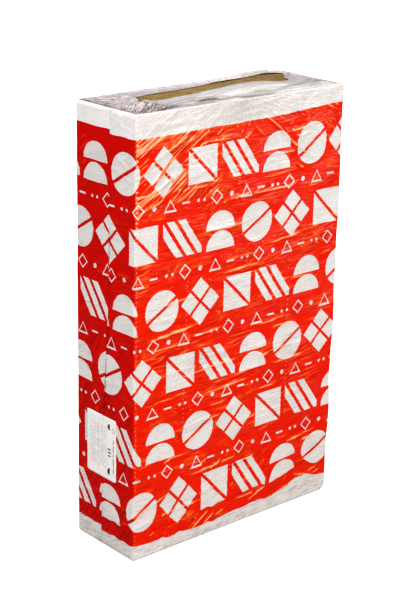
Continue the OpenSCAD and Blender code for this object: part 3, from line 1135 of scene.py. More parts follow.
@dataclass(frozen=True)
class Columns:
    """Where each column of a web runs round the pack, from one edge of the web to the other.

    across goes from the left corners' centres (0) to the right ones' (1), through from the front
    ones' (0) to the back ones' (1), and facing is the direction faced, in radians from +X. part
    counts the faces and rounded edges from the labelled face on.
    """

    across: Array
    through: Array
    facing: Array
    part: Array

    @classmethod
    def along(cls, stretches: list[tuple[int, Array]]) -> "Columns":
        """Joins stretches of columns.

        Args:
            stretches: Number of each face or rounded edge, and shares of the way along it.

        Returns:
            The columns of all of them.
        """
        rows = []
        for part, share in stretches:
            still = np.zeros_like(share)
            across, through = (
                (still, 1 - share), (still, still), (share, still), (still + 1, still), (still + 1, share),
                (still + 1, still + 1), (1 - share, still + 1), (still, still + 1), (still, 1 - share),
            )[part]
            turned = share if part % 2 else still
            facing = (2 + part // 2 + turned) * math.pi / 2
            rows.append((across, through, facing, still + part))
        return cls(*(np.concatenate([row[k] for row in rows]) for k in range(4)))

    def ring(self, left: Number, right: Number, front: Number, back: Number, radius: Number) -> Array:
        """Points of a rounded rectangle in plan.

        Args:
            left: X of the left side, one a row or one for all.
            right: X of the right side.
            front: Y of the front side.
            back: Y of the back side.
            radius: Radius of the corners.

        Returns:
            X and Y in the last axis, rows first.
        """
        x = (left + radius) + self.across * (right - left - 2 * radius) + radius * np.cos(self.facing)
        y = (front + radius) + self.through * (back - front - 2 * radius) + radius * np.sin(self.facing)
        return np.stack([x, y], axis=-1)

    def web_places(self, sleeve: Sleeve, x: Array, y: Array) -> Array:
        """Finds where round the web the points of rings lie.

        Args:
            sleeve: The sleeve that they lie on.
            x: X of the points, rows first.
            y: Their y.

        Returns:
            Places round the web, counted from the front left edge.
        """
        corners = np.array(sleeve.edges)
        front_left, front_right, back_right, back_left = corners
        arc = np.clip((self.part.astype(int) - 1) // 2, 0, 3)
        share = (self.facing - (2 + arc) * math.pi / 2) / (math.pi / 2)
        flat = [
            (0, -(y + sleeve.half_y)),
            (2, front_left + x + sleeve.half_x),
            (4, front_right + y + sleeve.half_y),
            (6, back_right + sleeve.half_x - x),
            (8, back_left + sleeve.half_y - y),
        ]
        u = np.broadcast_to(corners[arc] + (2 * share - 1) * sleeve.edge_radius, x.shape).copy()
        for part, place in flat:
            here = self.part == part
            u[:, here] = place[:, here]
        return u


@dataclass(frozen=True)
class Skin:
    """One web of the film as a grid of points, with what its print and its finish need."""

    outer: Array
    inner: Array
    source_rows: Array
    u: Array
    v: Array
    gathered: Array
    dense: Array
    crest: Array
    crease_shade: Array

    def everywhere(self, key: str) -> Array:
        """A field's numbers on the outer points, then on the inner ones, flat and as Blender stores them."""
        outer = getattr(self, key)
        return np.concatenate([outer, outer[self.source_rows]]).astype(np.float32).ravel()


@dataclass
class FilmSleeve:
    """The printed shrink film: two webs that meet on the narrow faces, folded over the pack's ends.

    helix is how far the print climbs once round, and tuck is how far the back web's edges go under
    the front web's.
    """

    sleeve: Sleeve
    finish: PrintedFilm
    wall: float = 0.0004
    helix: float = -0.009
    tuck: float = 0.004
    tuck_depth: float = 0.0007
    print_rise: float = 0.003
    pleats: int = 150
    front_step: float = 0.0026
    back_step: float = 0.0036
    flap_reach: float = 0.074
    crest_low: float = 0.00022
    crest_high: float = 0.00100
    #: The dark creases of the front flap: places along it, ways in from its edge and width, all in
    #: millimetres, and strength.
    # Each line is painted shade along a crease of the flap.
    pinch_lines = (
        ((-290, -250, -200, -160), (1, 2, 1, 2), 4.5, 0.60),
        ((-235, -205, -178, -150), (6, 11, 15, 14), 6.2, 0.95),
        ((-285, -246, -200), (9, 26, 42), 5.5, 0.60),
        ((-275, -250, -225), (4, 34, 60), 5, 0.55),
        ((-110, -94, -76, -55), (24, 30, 31, 24), 7.8, 1.05),
        ((-240, -160, -95, -69, -20), (34, 48, 51, 36, 29), 4.6, 0.42),
        ((-250, -190, -140, -110), (18, 27, 34, 32), 4.2, 0.50),
        ((-165, -132, -106, -81), (1, 4, 8, 10), 11, 0.52),
        ((-69, -21, 0, 37, 85), (13, 16, 8, 4, 2), 6, 0.70),
        ((-50, 17, 68, 113, 155), (20, 30, 33, 26, 34), 5, 0.45),
        ((110, 170, 240), (1, 0, 1), 4, 0.50),
        ((157, 186, 237, 282), (36, 40, 50, 32), 6, 0.50),
    )

    def __post_init__(self) -> None:
        """Designs the creases."""
        self.creases = Creases(self.sleeve)

    def _front_columns(self) -> Columns:
        """Columns of the front web, close together where its creases are fine."""
        arc = np.linspace(0, 1, 8)[:-1]
        half = np.linspace(0, 1, 27)[:-1]
        wide = np.concatenate([np.linspace(0, 0.5, 112)[:-1], np.linspace(0.5, 1, 86)[:-1]])
        right = np.linspace(0, 0.5, 20)
        return Columns.along([(0, 0.5 + half / 2), (1, arc), (2, wide), (3, arc), (4, right)])

    def _back_columns(self) -> Columns:
        """Columns of the back web, whose edges are tucked under the front web's."""
        arc = np.linspace(0, 1, 8)[:-1]
        under = self.tuck / (2 * self.sleeve.half_y)
        tucked = [0.5 - under, 0.5 - 0.25 * under, 0.5 + 0.25 * under]
        right = np.concatenate([tucked, np.linspace(0.52, 1, 26)[:-1]])
        left = np.concatenate([np.linspace(0, 0.48, 26), [0.5 - 0.25 * under, 0.5 + under]])
        return Columns.along([(4, right), (5, arc), (6, np.linspace(0, 1, 151)[:-1]), (7, arc), (8, left)])

    def _upright_rows(self, fine: float) -> Array:
        """Heights of the upright rows.

        Args:
            fine: Finest step between rows in metres.

        Returns:
            Heights from foot to top.
        """
        sleeve = self.sleeve
        fold_end, corner_end, crush_end = sleeve.fold_radius, sleeve.corner_radius, sleeve.crushed_radius
        folds = fold_end * (1 - np.sin(np.linspace(math.pi / 2, 0, 6)))
        corner = fold_end + (corner_end - fold_end) * np.array([0.4, 1.0])
        crush = corner_end + (crush_end - corner_end) * np.array([0.3, 0.62, 1.0])
        stops = [crush[-1], 0.150, sleeve.top - 0.262, sleeve.top - 0.018, sleeve.top - corner_end]
        body = [
            np.linspace(low, high, math.ceil((high - low) / (coarser * fine)) + 1)[1:]
            for low, high, coarser in zip(stops, stops[1:], (1.2, 1.45, 1.0, 0.9))
        ]
        upper = sleeve.top - np.concatenate([corner[:1], folds[::-1]])
        return np.concatenate([folds, corner, crush, *body, upper])

    @staticmethod
    def seam_shift(z: Array) -> Array:
        """How far the visible web edge wanders off the middle of the narrow face at height z."""
        return table(z, [0, 44, 210, 370, 520, 610, 750, 1020], [12, 12, 8, 2, -10, -13, -18, -18])

    @staticmethod
    def _seam_window(columns: Columns) -> Array:
        """How much each column follows the seam's wander: fully at the seam, not at all off its face."""
        on_seam_face = (columns.part == 0) | (columns.part == 8)
        return np.where(on_seam_face, np.sin(np.pi * np.clip(columns.through, 0, 1)) ** 0.8, 0.0)

    def _upright(self, columns: Columns, z: Array) -> Array:
        """Plain points of the upright rows.

        Args:
            columns: Columns of the web.
            z: Heights of the rows.

        Returns:
            Points without relief, rows first.
        """
        sleeve = self.sleeve
        height = z[:, None]
        end = np.minimum(height, sleeve.top - height)
        lower = height < sleeve.top / 2
        right = np.where(lower, inset(sleeve.crushed_radius, end), inset(sleeve.corner_radius, end))
        fold = inset(sleeve.fold_radius, end)
        plan = columns.ring(
            -sleeve.half_x + inset(sleeve.corner_radius, end), sleeve.half_x - right,
            fold - sleeve.half_y, sleeve.half_y - fold, sleeve.edge_radius - fold,
        )
        plan[..., 1] += self.seam_shift(height) * self._seam_window(columns)
        return raised(plan, height)

    def _over_end(self, columns: Columns, shares: Array, lower: bool) -> tuple[Array, Array]:
        """Plan of the film over an end, a share of the way from the fold to the mouth.

        Args:
            columns: Columns of the web.
            shares: One share a row.
            lower: Whether this is the foot, whose right corner is crushed.

        Returns:
            X and Y with rows first, and each column's way from the fold to the mouth.
        """
        sleeve = self.sleeve
        outer = self._upright(columns, np.array([0.0 if lower else sleeve.top]))[..., :2]
        (left, front), (right, back) = sleeve.mouth_low, sleeve.mouth_high
        radius = sleeve.mouth_radius if lower else sleeve.upper_mouth_radius
        mouth = columns.ring(left, right, front, back, radius)
        if not lower:
            mouth = mouth + sleeve.mouth_shift(mouth[..., 0], mouth[..., 1])
        way = np.linalg.norm(mouth - outer, axis=-1)
        return outer + (mouth - outer) * shares[:, None, None], way

    def _flap(self, columns: Columns, shares: Array) -> tuple[Array, Array]:
        """Shapes the film over the top.

        Args:
            columns: Columns of the web.
            shares: How far each row has come from the fold to the mouth.

        Returns:
            Points without relief, and each column's way from the fold to the mouth.
        """
        sleeve = self.sleeve
        plan, way = self._over_end(columns, shares, False)
        x, y, s = plan[..., 0], plan[..., 1], shares[:, None]
        front = smoothstep(0.034, -0.016, y)
        gathered = np.maximum(smoothstep(-0.165, -0.212, x), smoothstep(0.232, 0.266, x))
        flat = front * self._near_flap(x, y) + (1 - front) * self._far_flap(x, y)
        height = flat * (1 - gathered) + self._gathers(columns, x, y, s) * gathered
        height = height * smoothstep(0.0, 0.06, s)
        return raised(plan, sleeve.top + height), way

    @staticmethod
    def _crease_line(x: Array) -> Array:
        """How far in from the front edge of the top the long crease lies."""
        return table(
            x, [-270, -220, -180, -133, -93, -60, -7, 24, 71, 103, 146, 200, 290],
            [12, 26, 17, 21, 31, 25, 31, 35, 28, 31, 29, 21, 10],
        )

    def _near_flap(self, x: Array, y: Array) -> Array:
        """Height of the front flap: a low strip, a crease, then a bulge up to the mouth's lip.

        Args:
            x: X of the points.
            y: Their y.

        Returns:
            Heights over the top.
        """
        inward = y + self.sleeve.half_y
        crease = self._crease_line(x)
        lip = table(
            x, [-200, -150, -100, -50, 0, 60, 100, 150, 190, 245],
            [1.2, 2.8, 5.4, 7.8, 9.4, 11.2, 11.4, 9, 5.4, 2.8],
        )
        strip = 0.0022 + 0.0008 * bell(x, 0.14, 0.12)
        crisp = 0.013 + 0.018 * smoothstep(-0.06, 0.12, x)
        rise = smoothstep(0.0, 1.0, (inward - crease) / crisp)
        bulge = lip * (0.86 + 0.14 * smoothstep(0.045, 0.085, inward))
        inside = smoothstep(-0.23, -0.15, x) * smoothstep(0.24, 0.16, x)
        dent = 0.0026 * bell(inward, crease - 0.0015, 0.0034) * inside
        spot = 0.0022 * bell(inward, 0.030, 0.006) * bell(x, -0.078, 0.016)
        branch = 0.0020 * bell(inward, crease + 0.016 - 0.05 * (x + 0.05), 0.0040) * bell(x, -0.12, 0.07)
        upper = 0.0016 * bell(inward, crease + 0.015 + 0.03 * (x - 0.15), 0.0038) * bell(x, 0.16, 0.07)
        return strip + (bulge - strip) * rise - dent - spot - branch - upper

    def _far_flap(self, x: Array, y: Array) -> Array:
        """Height of the back flap: low at the mouth, with a puff along the back edge, most at the right."""
        outward = self.sleeve.half_y - y
        lifted = bell(x, 0.20, 0.085)
        middle, spread = 0.010 - 0.0042 * lifted, 0.0056 - 0.0018 * lifted
        return 0.0001 + (0.0032 + 0.0062 * lifted) * bell(outward, middle, spread)

    def _gathers(self, columns: Columns, x: Array, y: Array, s: Array) -> Array:
        """Height of the pleats that run from the narrow faces into the mouth's ends.

        Args:
            columns: Columns of the web.
            x: X of the points.
            y: Their y.
            s: How far each row has come from the fold to the mouth.

        Returns:
            Heights over the top.
        """
        round_web = columns.web_places(self.sleeve, x[:1], y[:1]) / self.sleeve.girth
        uneven = 0.4 * np.sin(2 * np.pi * 23 * round_web)
        fan = np.abs(((self.pleats * round_web + uneven) % 1.0) * 2 - 1) - 0.5
        window = smoothstep(0.02, 0.25, s)
        crumpled = crumple(x * 70 + 9, y * 34, 31) - 0.42
        bunch = bell(x, -0.232, 0.034) * bell(y, -0.052, 0.040) + 0.5 * bell(x, 0.262, 0.020)
        lip = smoothstep(0.45, 0.95, s) * np.where(x < 0, 0.0024, -0.0012)
        level = np.where(x < 0, 1.0, smoothstep(1.0, 0.6, s))
        pleats = 0.0013 * fan + (0.0040 + 0.0040 * bunch) * crumpled + 0.0030 * bunch
        return np.maximum(0.0014 + lip + window * level * pleats, 0.0001)

    @staticmethod
    def _normals(points: Array) -> Array:
        """Outward normals of a grid of points."""
        normal = np.cross(np.gradient(points, axis=1), np.gradient(points, axis=0))
        return normal / np.maximum(np.linalg.norm(normal, axis=-1, keepdims=True), 1e-12)

    def build(self) -> list[Piece]:
        """Builds both webs, each a closed skin of one wall."""
        material = self.finish.material()
        front = self._web("film_front_web", self._front_columns(), self.front_step, False)
        back = self._web("film_back_web", self._back_columns(), self.back_step, True)
        for web in (front, back):
            web.data.materials.append(material)
        return [front, back]

    def _web(self, name: str, columns: Columns, fine: float, under: bool) -> Piece:
        """Builds one web.

        Args:
            name: Name of the piece.
            columns: Where its columns run.
            fine: Finest step between its rows.
            under: Whether its edges lie under the other web's.

        Returns:
            The finished mesh object.
        """
        skin = self._skin(columns, fine, under)
        rows, width = skin.outer.shape[:2]
        points = np.concatenate([skin.outer, skin.inner])
        last = (len(points) - 1) * width
        closing = [[last + j, last + j + 1, j + 1, j] for j in range(width - 1)]
        sides = self._side_rims(rows, width, skin.source_rows)
        web = mesh_object(name, points.reshape(-1, 3), grid_faces(len(points), width) + closing + sides)
        loops = np.empty(len(web.data.loops), dtype=np.int64)
        web.data.loops.foreach_get("vertex_index", loops)
        uv = np.stack([skin.everywhere(key)[loops] for key in ("u", "v")], axis=-1)
        web.data.uv_layers.new(name="web").data.foreach_set("uv", uv.ravel())
        for mask in MASKS:
            web.data.attributes.new(mask, "FLOAT", "POINT").data.foreach_set("value", skin.everywhere(mask))
        return web

    def _skin(self, columns: Columns, fine: float, under: bool) -> Skin:
        """Shapes one web: plain points, then relief, lap and wall, and the masks of its finish.

        Args:
            columns: Where its columns run.
            fine: Finest step between its rows.
            under: Whether its edges lie under the other web's.

        Returns:
            The web as a grid of points.
        """
        sleeve = self.sleeve
        foot_shares = np.array([1.0, 0.75, 0.5, 0.25])
        even = np.linspace(0, 0.9, round(self.flap_reach / fine))[1:]
        top_shares = np.concatenate([even, [0.93, 0.96, 0.985, 1.0]])
        z = self._upright_rows(fine)
        upright = self._upright(columns, z)
        flap, way = self._flap(columns, top_shares)
        foot_plan, foot_way = self._over_end(columns, foot_shares, True)
        foot = raised(foot_plan, 0.0)
        plain = np.concatenate([foot, upright, flap])
        upright_u = columns.web_places(sleeve, upright[..., 0], upright[..., 1])
        u = upright_u[np.clip(np.arange(-len(foot), len(z) + len(flap)), 0, len(z) - 1)]
        v = np.concatenate([
            -foot_way * foot_shares[:, None],
            np.broadcast_to(z[:, None], upright_u.shape),
            sleeve.top + way * top_shares[:, None],
        ])
        lift = self._lift(columns, plain, u, v, under)
        normals = self._normals(plain)
        outer = plain + normals * lift[..., None]
        first, last = len(foot), len(foot) + len(upright)
        source, inner = self._inner_skin(plain, outer, normals, first, last)
        return Skin(
            outer, inner, source, u, v + self._drift(u, v),
            self._gathered(plain, last),
            # 1 on the narrow faces, where the red is deeper and the painted highlights are weaker.
            np.tile(smoothstep(0.25, 0.85, np.abs(np.cos(columns.facing))), (len(plain), 1)),
            self._crests(lift),
            self._crease_shades(plain, last),
        )

    def _crease_shades(self, plain: Array, last: int) -> Array:
        """Painted shade in the creases of the front flap and along the left edge of the top, as a mask.

        Args:
            plain: Points without relief.
            last: Row after the upright film.

        Returns:
            The mask.
        """
        x, y = plain[..., 0], plain[..., 1]
        inward = (y + self.sleeve.half_y) / MM
        edge = 0.90 * bell(x + self.sleeve.half_x, 0.0050, 0.0080)
        mask = edge * (0.45 + 0.8 * lattice_noise(y * 60, x * 0, 77))
        for places, ways, width, strength in self.pinch_lines:
            along = x / MM
            begun = smoothstep(places[0] - 20, places[0] + 10, along)
            ended = smoothstep(places[-1] - 10, places[-1] + 20, along)
            stroke = bell(inward, np.interp(along, places, ways), width)
            mask = np.maximum(mask, strength * begun * (1 - ended) * stroke)
        row = np.arange(len(plain))[:, None]
        return np.where(row >= last - 2, np.clip(mask, 0, 1), 0.0)

    def _crests(self, lift: Array) -> Array:
        """How much each place stands proud of those just above and below it, as a mask of painted highlights
        on the crests.
        """
        proud = lift - 0.5 * (np.roll(lift, 2, axis=0) + np.roll(lift, -2, axis=0))
        return smoothstep(self.crest_low, self.crest_high, proud)

    def _lift(self, columns: Columns, plain: Array, u: Array, v: Array, under: bool) -> Array:
        """How far each point stands off its plain place: creases, the lap, and the tuck under it.

        Args:
            columns: Columns of the web.
            plain: Points without relief.
            u: Their places round the web.
            v: Their heights on the web.
            under: Whether the web's edges lie under the other web's.

        Returns:
            Outward heights in metres.
        """
        sleeve = self.sleeve
        lift = self.creases.relief(u, v)
        near_seam = columns.part == 8
        if near_seam.any():
            share = smoothstep(0.70, 0.52, columns.through[near_seam])
            other = self.creases.relief(u[:, near_seam] - sleeve.girth, v[:, near_seam])
            lift[:, near_seam] += (other - lift[:, near_seam]) * share
        lift *= 0.45 + 0.55 * smoothstep(0.0, 0.012, np.abs(sleeve.top - v))
        lift *= 1 - 0.75 * smoothstep(sleeve.top + 0.012, sleeve.top + 0.030, v)
        if under:
            over = self.tuck / (2 * sleeve.half_y)
            narrow = (columns.part == 4) | (columns.part == 8)
            return lift - self.tuck_depth * narrow * smoothstep(0.5, 0.5 - over, columns.through)
        behind = plain[..., 1] - self.seam_shift(v)
        lap = (columns.part == 0) * smoothstep(-sleeve.lap - 0.006, -sleeve.lap, behind)
        return lift + sleeve.step * lap * smoothstep(0.0, 0.010, np.minimum(v, sleeve.top - v))

    def _inner_skin(
        self, plain: Array, outer: Array, normals: Array, first: int, last: int
    ) -> tuple[Array, Array]:
        """The skin inside, from the upper mouth back down to the lower one.

        Args:
            plain: Outer points without relief.
            outer: Outer points with it.
            normals: Outward normals of the plain points.
            first: Row where the upright film starts.
            last: Row after it.

        Returns:
            The outer row that each inner row lies under, and the points, in downward order.
        """
        flap_rows = np.arange(len(plain) - 1, last - 1, -2)
        near_top, near_foot = last - np.array([1, 4, 7, 10]), first + np.array([12, 6, 3, 0])
        upright_rows = np.concatenate([near_top, [(first + last) // 2], near_foot])
        foot_rows = np.arange(first)[::-1]
        flap = outer[flap_rows] - self._normals(outer)[flap_rows] * self.wall
        upright = plain[upright_rows] - normals[upright_rows] * (self.wall * 1.6)
        foot = plain[foot_rows] + np.array([0.0, 0.0, self.wall])
        return np.concatenate([flap_rows, upright_rows, foot_rows]), np.concatenate([flap, upright, foot])

    @staticmethod
    def _side_rims(rows: int, width: int, source_rows: Array) -> list[list[int]]:
        """Closes the two side edges of a web, between its outer and inner rows.

        Args:
            rows: Number of outer rows.
            width: Number of columns.
            source_rows: The outer row that each inner row lies under.

        Returns:
            Three vertex numbers a triangle.
        """
        made = []
        count = len(source_rows)
        level = source_rows[::-1].astype(float)
        for column, flip in ((0, False), (width - 1, True)):
            outer = [i * width + column for i in range(rows)]
            inner = [(rows + count - 1 - k) * width + column for k in range(count)]
            i = k = 0
            while i < rows - 1 or k < count - 1:
                if k == count - 1 or (i < rows - 1 and i + 1 <= level[k + 1]):
                    face = [outer[i], outer[i + 1], inner[k]]
                    i += 1
                else:
                    face = [outer[i], inner[k + 1], inner[k]]
                    k += 1
                made.append(face[::-1] if flip else face)
        return made

    def _drift(self, u: Array, v: Array) -> Array:
        """How far the print has drifted up or down as the web shrank on.

        Args:
            u: Places round the web.
            v: Heights on it.

        Returns:
            What is added to the heights.
        """
        near_top = smoothstep(0.84, 0.95, v)
        near_foot = 1 - smoothstep(0.05, 0.16, v)
        front = 2 * self.sleeve.half_x
        rise = 0.009 * smoothstep(0.33, front, u) * (1 - smoothstep(front + 0.02, front + 0.35, u))
        rise += 0.0015 * (lattice_noise(u * 45, v * 0, 41) - 0.5)
        foot = -0.010 * bell(u, 0.22, 0.15) + 0.020 * bell(u, 0.515, 0.055) - 0.004 * bell(u, 0.42, 0.03)
        foot += 0.006 * (lattice_noise(u * 60, v * 0, 43) - 0.5) - 0.010 * bell(u, 1.0, 0.12)
        waves = 0.0016 * (lattice_noise(u * 12, v * 34, 45) - 0.5)
        climb = self.helix * u / self.sleeve.girth + self.print_rise
        return climb + waves - rise * near_top - foot * near_foot

    @staticmethod
    def _gathered(plain: Array, last: int) -> Array:
        """1 where the film over the top is bunched up, clouded and painted with the shade of its crumples, 0
        where it is taut.

        Args:
            plain: Points without relief.
            last: Row after the upright film.

        Returns:
            The mask.
        """
        x, y = plain[..., 0], plain[..., 1]
        left = smoothstep(-0.185, -0.225, x - 0.55 * np.maximum(-0.045 - y, 0))
        right = smoothstep(0.220, 0.244, x + 0.7 * np.minimum(y + 0.015, 0))
        far = (0.35 + 0.35 * smoothstep(0.06, -0.12, x)) * smoothstep(0.042, 0.062, y - 0.1 * x)
        mask = np.maximum(np.maximum(left, right), far)
        mask = np.clip(mask + 0.25 * (crumple(x * 16, y * 16, 51) - 0.5), 0, 1)
        row = np.arange(len(plain))[:, None]
        return mask * np.clip((row - last + 3) / 2.0, 0, 1)


# ---- The wool boards and what stands out of their ends ----


@dataclass
class WoolBoard:
    """One board, standing on end, whose sawn ends show matted layers.

    outward is the side in y that its outer face looks to. edge, corner and crushed are the radii of
    its outer edges, of its corners and of the crushed one, and joint_edge is that of the edges that
    meet the other board.
    """

    name: str
    low: Vector
    high: Vector
    outward: int
    material: Material
    seed: int
    edge: float = 0.005
    joint_edge: float = 0.0015
    corner: float = 0.007
    crushed: float = 0.022
    stations: int = 200
    end_points: int = 38
    face_points: int = 16
    relief_reach: float = 0.0005

    def build(self) -> Piece:
        """Builds the board as loops round its thickness, one for each station across its width."""
        x = self._stations()
        left, right = x - self.low.x, self.high.x - x
        foot = np.maximum(inset(self.corner, left), inset(self.crushed, right))
        head = np.maximum(inset(self.corner, left), inset(self.corner, right))
        narrow = inset(self.edge, np.minimum(left, right))
        joint = inset(self.joint_edge, np.minimum(left, right))
        loops = [self._loop(*row) for row in zip(x, foot, head, narrow, joint)]
        points = np.stack(loops)
        points[..., 2] += self._end_relief(points)
        size = points.shape[1]
        faces = grid_faces(len(x), size, wrap=True)
        faces.append(list(range(size)))
        faces.append([(len(x) - 1) * size + i for i in reversed(range(size))])
        if self.outward > 0:
            faces = [f[::-1] for f in faces]
        board = mesh_object(self.name, points.reshape(-1, 3), faces)
        for side in (-1, -2):
            board.data.polygons[side].use_smooth = False
        board.data.materials.append(self.material)
        return board

    def _stations(self) -> Array:
        """Places across the width, denser where the corners turn."""
        turned = self.crushed * (1 - np.cos(np.linspace(0, math.pi / 2, 9)))
        middle = np.linspace(self.low.x + self.crushed, self.high.x - self.crushed, self.stations)
        return np.concatenate([self.low.x + turned[:-1], middle, self.high.x - turned[-2::-1]])

    def _loop(self, x: float, foot: float, head: float, narrow: float, joint: float) -> Array:
        """Points round the thickness at one station, up the outer face and down the joint face.

        Args:
            x: Place of the station.
            foot: How far the foot has come in there.
            head: How far the head has.
            narrow: How far the outer face has.
            joint: How far the joint face has.

        Returns:
            One row of x, y and z a point.
        """
        outer, inner = (self.low.y, self.high.y) if self.outward < 0 else (self.high.y, self.low.y)
        outer, inner = outer - self.outward * narrow, inner + self.outward * joint
        bottom, top = self.low.z + foot, self.high.z - head
        swept = np.linspace(0, math.pi / 2, 6)
        arcs = []
        for y, z, side, up, radius in (
            (outer, bottom, -self.outward, 1, self.edge),
            (outer, top, -self.outward, -1, self.edge),
            (inner, top, self.outward, -1, self.joint_edge),
            (inner, bottom, self.outward, 1, self.joint_edge),
        ):
            angle = swept if (y == outer) == (z == top) else swept[::-1]
            arc_y = y + side * radius * (1 - np.cos(angle))
            arc_z = z + up * radius * (1 - np.sin(angle))
            arcs.append(np.stack([arc_y, arc_z], axis=-1))
        plan = closed_path(arcs, (self.face_points, self.end_points) * 2)
        return np.column_stack([np.full(len(plan), x), plan])

    def _end_relief(self, points: Array) -> Array:
        """How far the sawn ends are eaten in, by layers, tufts and a few torn pits.

        Args:
            points: Points of the board's loops.

        Returns:
            What is added to their z.
        """
        x, y, z = points[..., 0], points[..., 1], points[..., 2]
        fine = lattice_noise(x * 30, y * 420, self.seed + 5)
        layers = crumple(x * 11, y * 260, self.seed) * 0.6 + fine * 0.4
        tufts = lattice_noise(x * 150, y * 190, self.seed + 9)
        pits = smoothstep(0.70, 0.95, lattice_noise(x * 42, y * 75, self.seed + 13))
        depth = 0.0007 * (1 - layers) + 0.0005 * (1 - tufts) + 0.0013 * pits
        at_top = smoothstep(self.relief_reach, 0.0, self.high.z - z)
        at_foot = smoothstep(self.relief_reach, 0.0, z - self.low.z)
        return (at_foot - at_top) * depth


@dataclass
class LooseFibres:
    """Fine fibres that stand out of the wool in the upper mouth, scattered by Geometry Nodes."""

    centre: Vector
    length: float
    width: float
    material: Material
    count: int = 1100
    fibre_radius: float = 0.00011
    seed: int = 17

    def build(self) -> Piece:
        """Scatters the fibres and returns them as a plain mesh."""
        carrier = mesh_object("fibre_carrier", np.zeros((1, 3)), [])
        sizes = {
            "Length": self.length, "Width": self.width, "Centre": self.centre,
            "Fibre radius": self.fibre_radius, "Count": self.count, "Seed": self.seed,
        }
        return plain_result(carrier, self._tree(sizes), sizes, "loose_fibres")

    def _tree(self, sizes: dict[str, object]) -> Tree:
        """Builds the scatter: points on a rectangle, each with one curved fibre.

        Args:
            sizes: Value of each input.

        Returns:
            The tree.
        """
        g, given, out = new_scatter("Loose fibres", sizes)
        length, width, seed = given["Length"], given["Width"], given["Seed"]
        size = {"Size X": length, "Size Y": width, "Vertices X": 2, "Vertices Y": 2}
        sheet = g.fed("GeometryNodeMeshGrid", size).outputs["Mesh"]
        lifted = {"Geometry": sheet, "Translation": given["Centre"]}
        raised = g.fed("GeometryNodeTransform", lifted).outputs[0]
        density = {"Mesh": raised, "Density": given["Count"] / (length * width), "Seed": seed}
        scatter = g.fed("GeometryNodeDistributePointsOnFaces", density, distribute_method="RANDOM")
        spread = g.fed("GeometryNodeInstanceOnPoints", {
            "Points": scatter.outputs["Points"],
            "Instance": self._fibre(g, given["Fibre radius"]),
            "Rotation": self._random(g, (-0.5, -0.5, 0.0), (0.5, 0.5, 6.283), seed),
            "Scale": self._random(g, (0.5, 0.5, 0.4), (1.3, 1.3, 1.2), seed),
        })
        g.finish(spread.outputs["Instances"], self.material, out)
        return g.tree

    @staticmethod
    def _fibre(g: Wiring, radius: Value) -> Socket:
        """One bowed fibre that rises from the wool at one end.

        Args:
            g: Wiring of the scatter's tree.
            radius: The fibre's radius.

        Returns:
            Its mesh.
        """
        bow = {
            "Start": (-0.0035, 0, -0.0008), "Middle": (0.0, 0.0012, 0.0016), "End": (0.0036, -0.0004, 0.0012),
            "Resolution": 4,
        }
        line = g.fed("GeometryNodeCurveQuadraticBezier", bow).outputs[0]
        profile = g.fed("GeometryNodeCurvePrimitiveCircle", {"Resolution": 3, "Radius": radius}).outputs[0]
        tube = {"Curve": line, "Profile Curve": profile, "Fill Caps": True}
        return g.fed("GeometryNodeCurveToMesh", tube).outputs[0]

    @staticmethod
    def _random(g: Wiring, low: Place, high: Place, seed: Value) -> Socket:
        """A random vector for each point."""
        limits = {"Min": low, "Max": high, "Seed": seed}
        return g.fed("FunctionNodeRandomValue", limits, data_type="FLOAT_VECTOR").outputs["Value"]


# ---- Geometry Nodes helpers ----


class Scatter(Wiring):
    """Wiring of a geometry tree."""

    def finish(self, instances: Socket, material: Material, target: Socket) -> None:
        """Realizes the instances, gives them their material and sends them out."""
        real = self.fed("GeometryNodeRealizeInstances", {"Geometry": instances}).outputs[0]
        dressed = self.fed("GeometryNodeSetMaterial", {"Geometry": real, "Material": material})
        self.put(dressed.outputs[0], target)


def new_scatter(name: str, inputs: dict[str, object]) -> tuple[Scatter, dict[str, Value], Socket]:
    """Starts a geometry tree with named inputs.

    Args:
        name: Name of the tree.
        inputs: Value of each input: a float, a whole number or a vector.

    Returns:
        The tree's wiring, its inputs by name and the socket that its geometry goes out by.
    """
    tree = bpy.data.node_groups.new(name, "GeometryNodeTree")
    for way in ("INPUT", "OUTPUT"):
        tree.interface.new_socket("Geometry", in_out=way, socket_type="NodeSocketGeometry")
    kinds = {float: "NodeSocketFloat", int: "NodeSocketInt", Vector: "NodeSocketVector"}
    for key, value in inputs.items():
        tree.interface.new_socket(key, in_out="INPUT", socket_type=kinds[type(value)]).default_value = value
    g = Scatter(tree)
    begin, end = g.node("NodeGroupInput"), g.node("NodeGroupOutput")
    return g, {s.name: Value(g, s) for s in begin.outputs if s.name}, end.inputs[0]


def plain_result(carrier: Piece, tree: Tree, values: dict[str, object], name: str) -> Piece:
    """Sets a tree's inputs, evaluates it once and keeps its result as a plain mesh object.

    Args:
        carrier: Object that carries the tree's modifier, which is removed with it.
        tree: The geometry tree.
        values: Value of each named input.
        name: Name of the result.

    Returns:
        The new object, at the origin, without modifiers.
    """
    modifier = carrier.modifiers.new("Scatter", "NODES")
    modifier.node_group = tree
    for item in tree.interface.items_tree:
        if item.name in values and item.in_out == "INPUT":
            modifier[item.identifier] = values[item.name]
    evaluated = carrier.evaluated_get(bpy.context.evaluated_depsgraph_get())
    mesh = bpy.data.meshes.new_from_object(evaluated)
    mesh.name = name
    bpy.data.objects.remove(carrier)
    shade_smooth(mesh)
    return link(name, mesh)


# ---- Vent holes and label ----


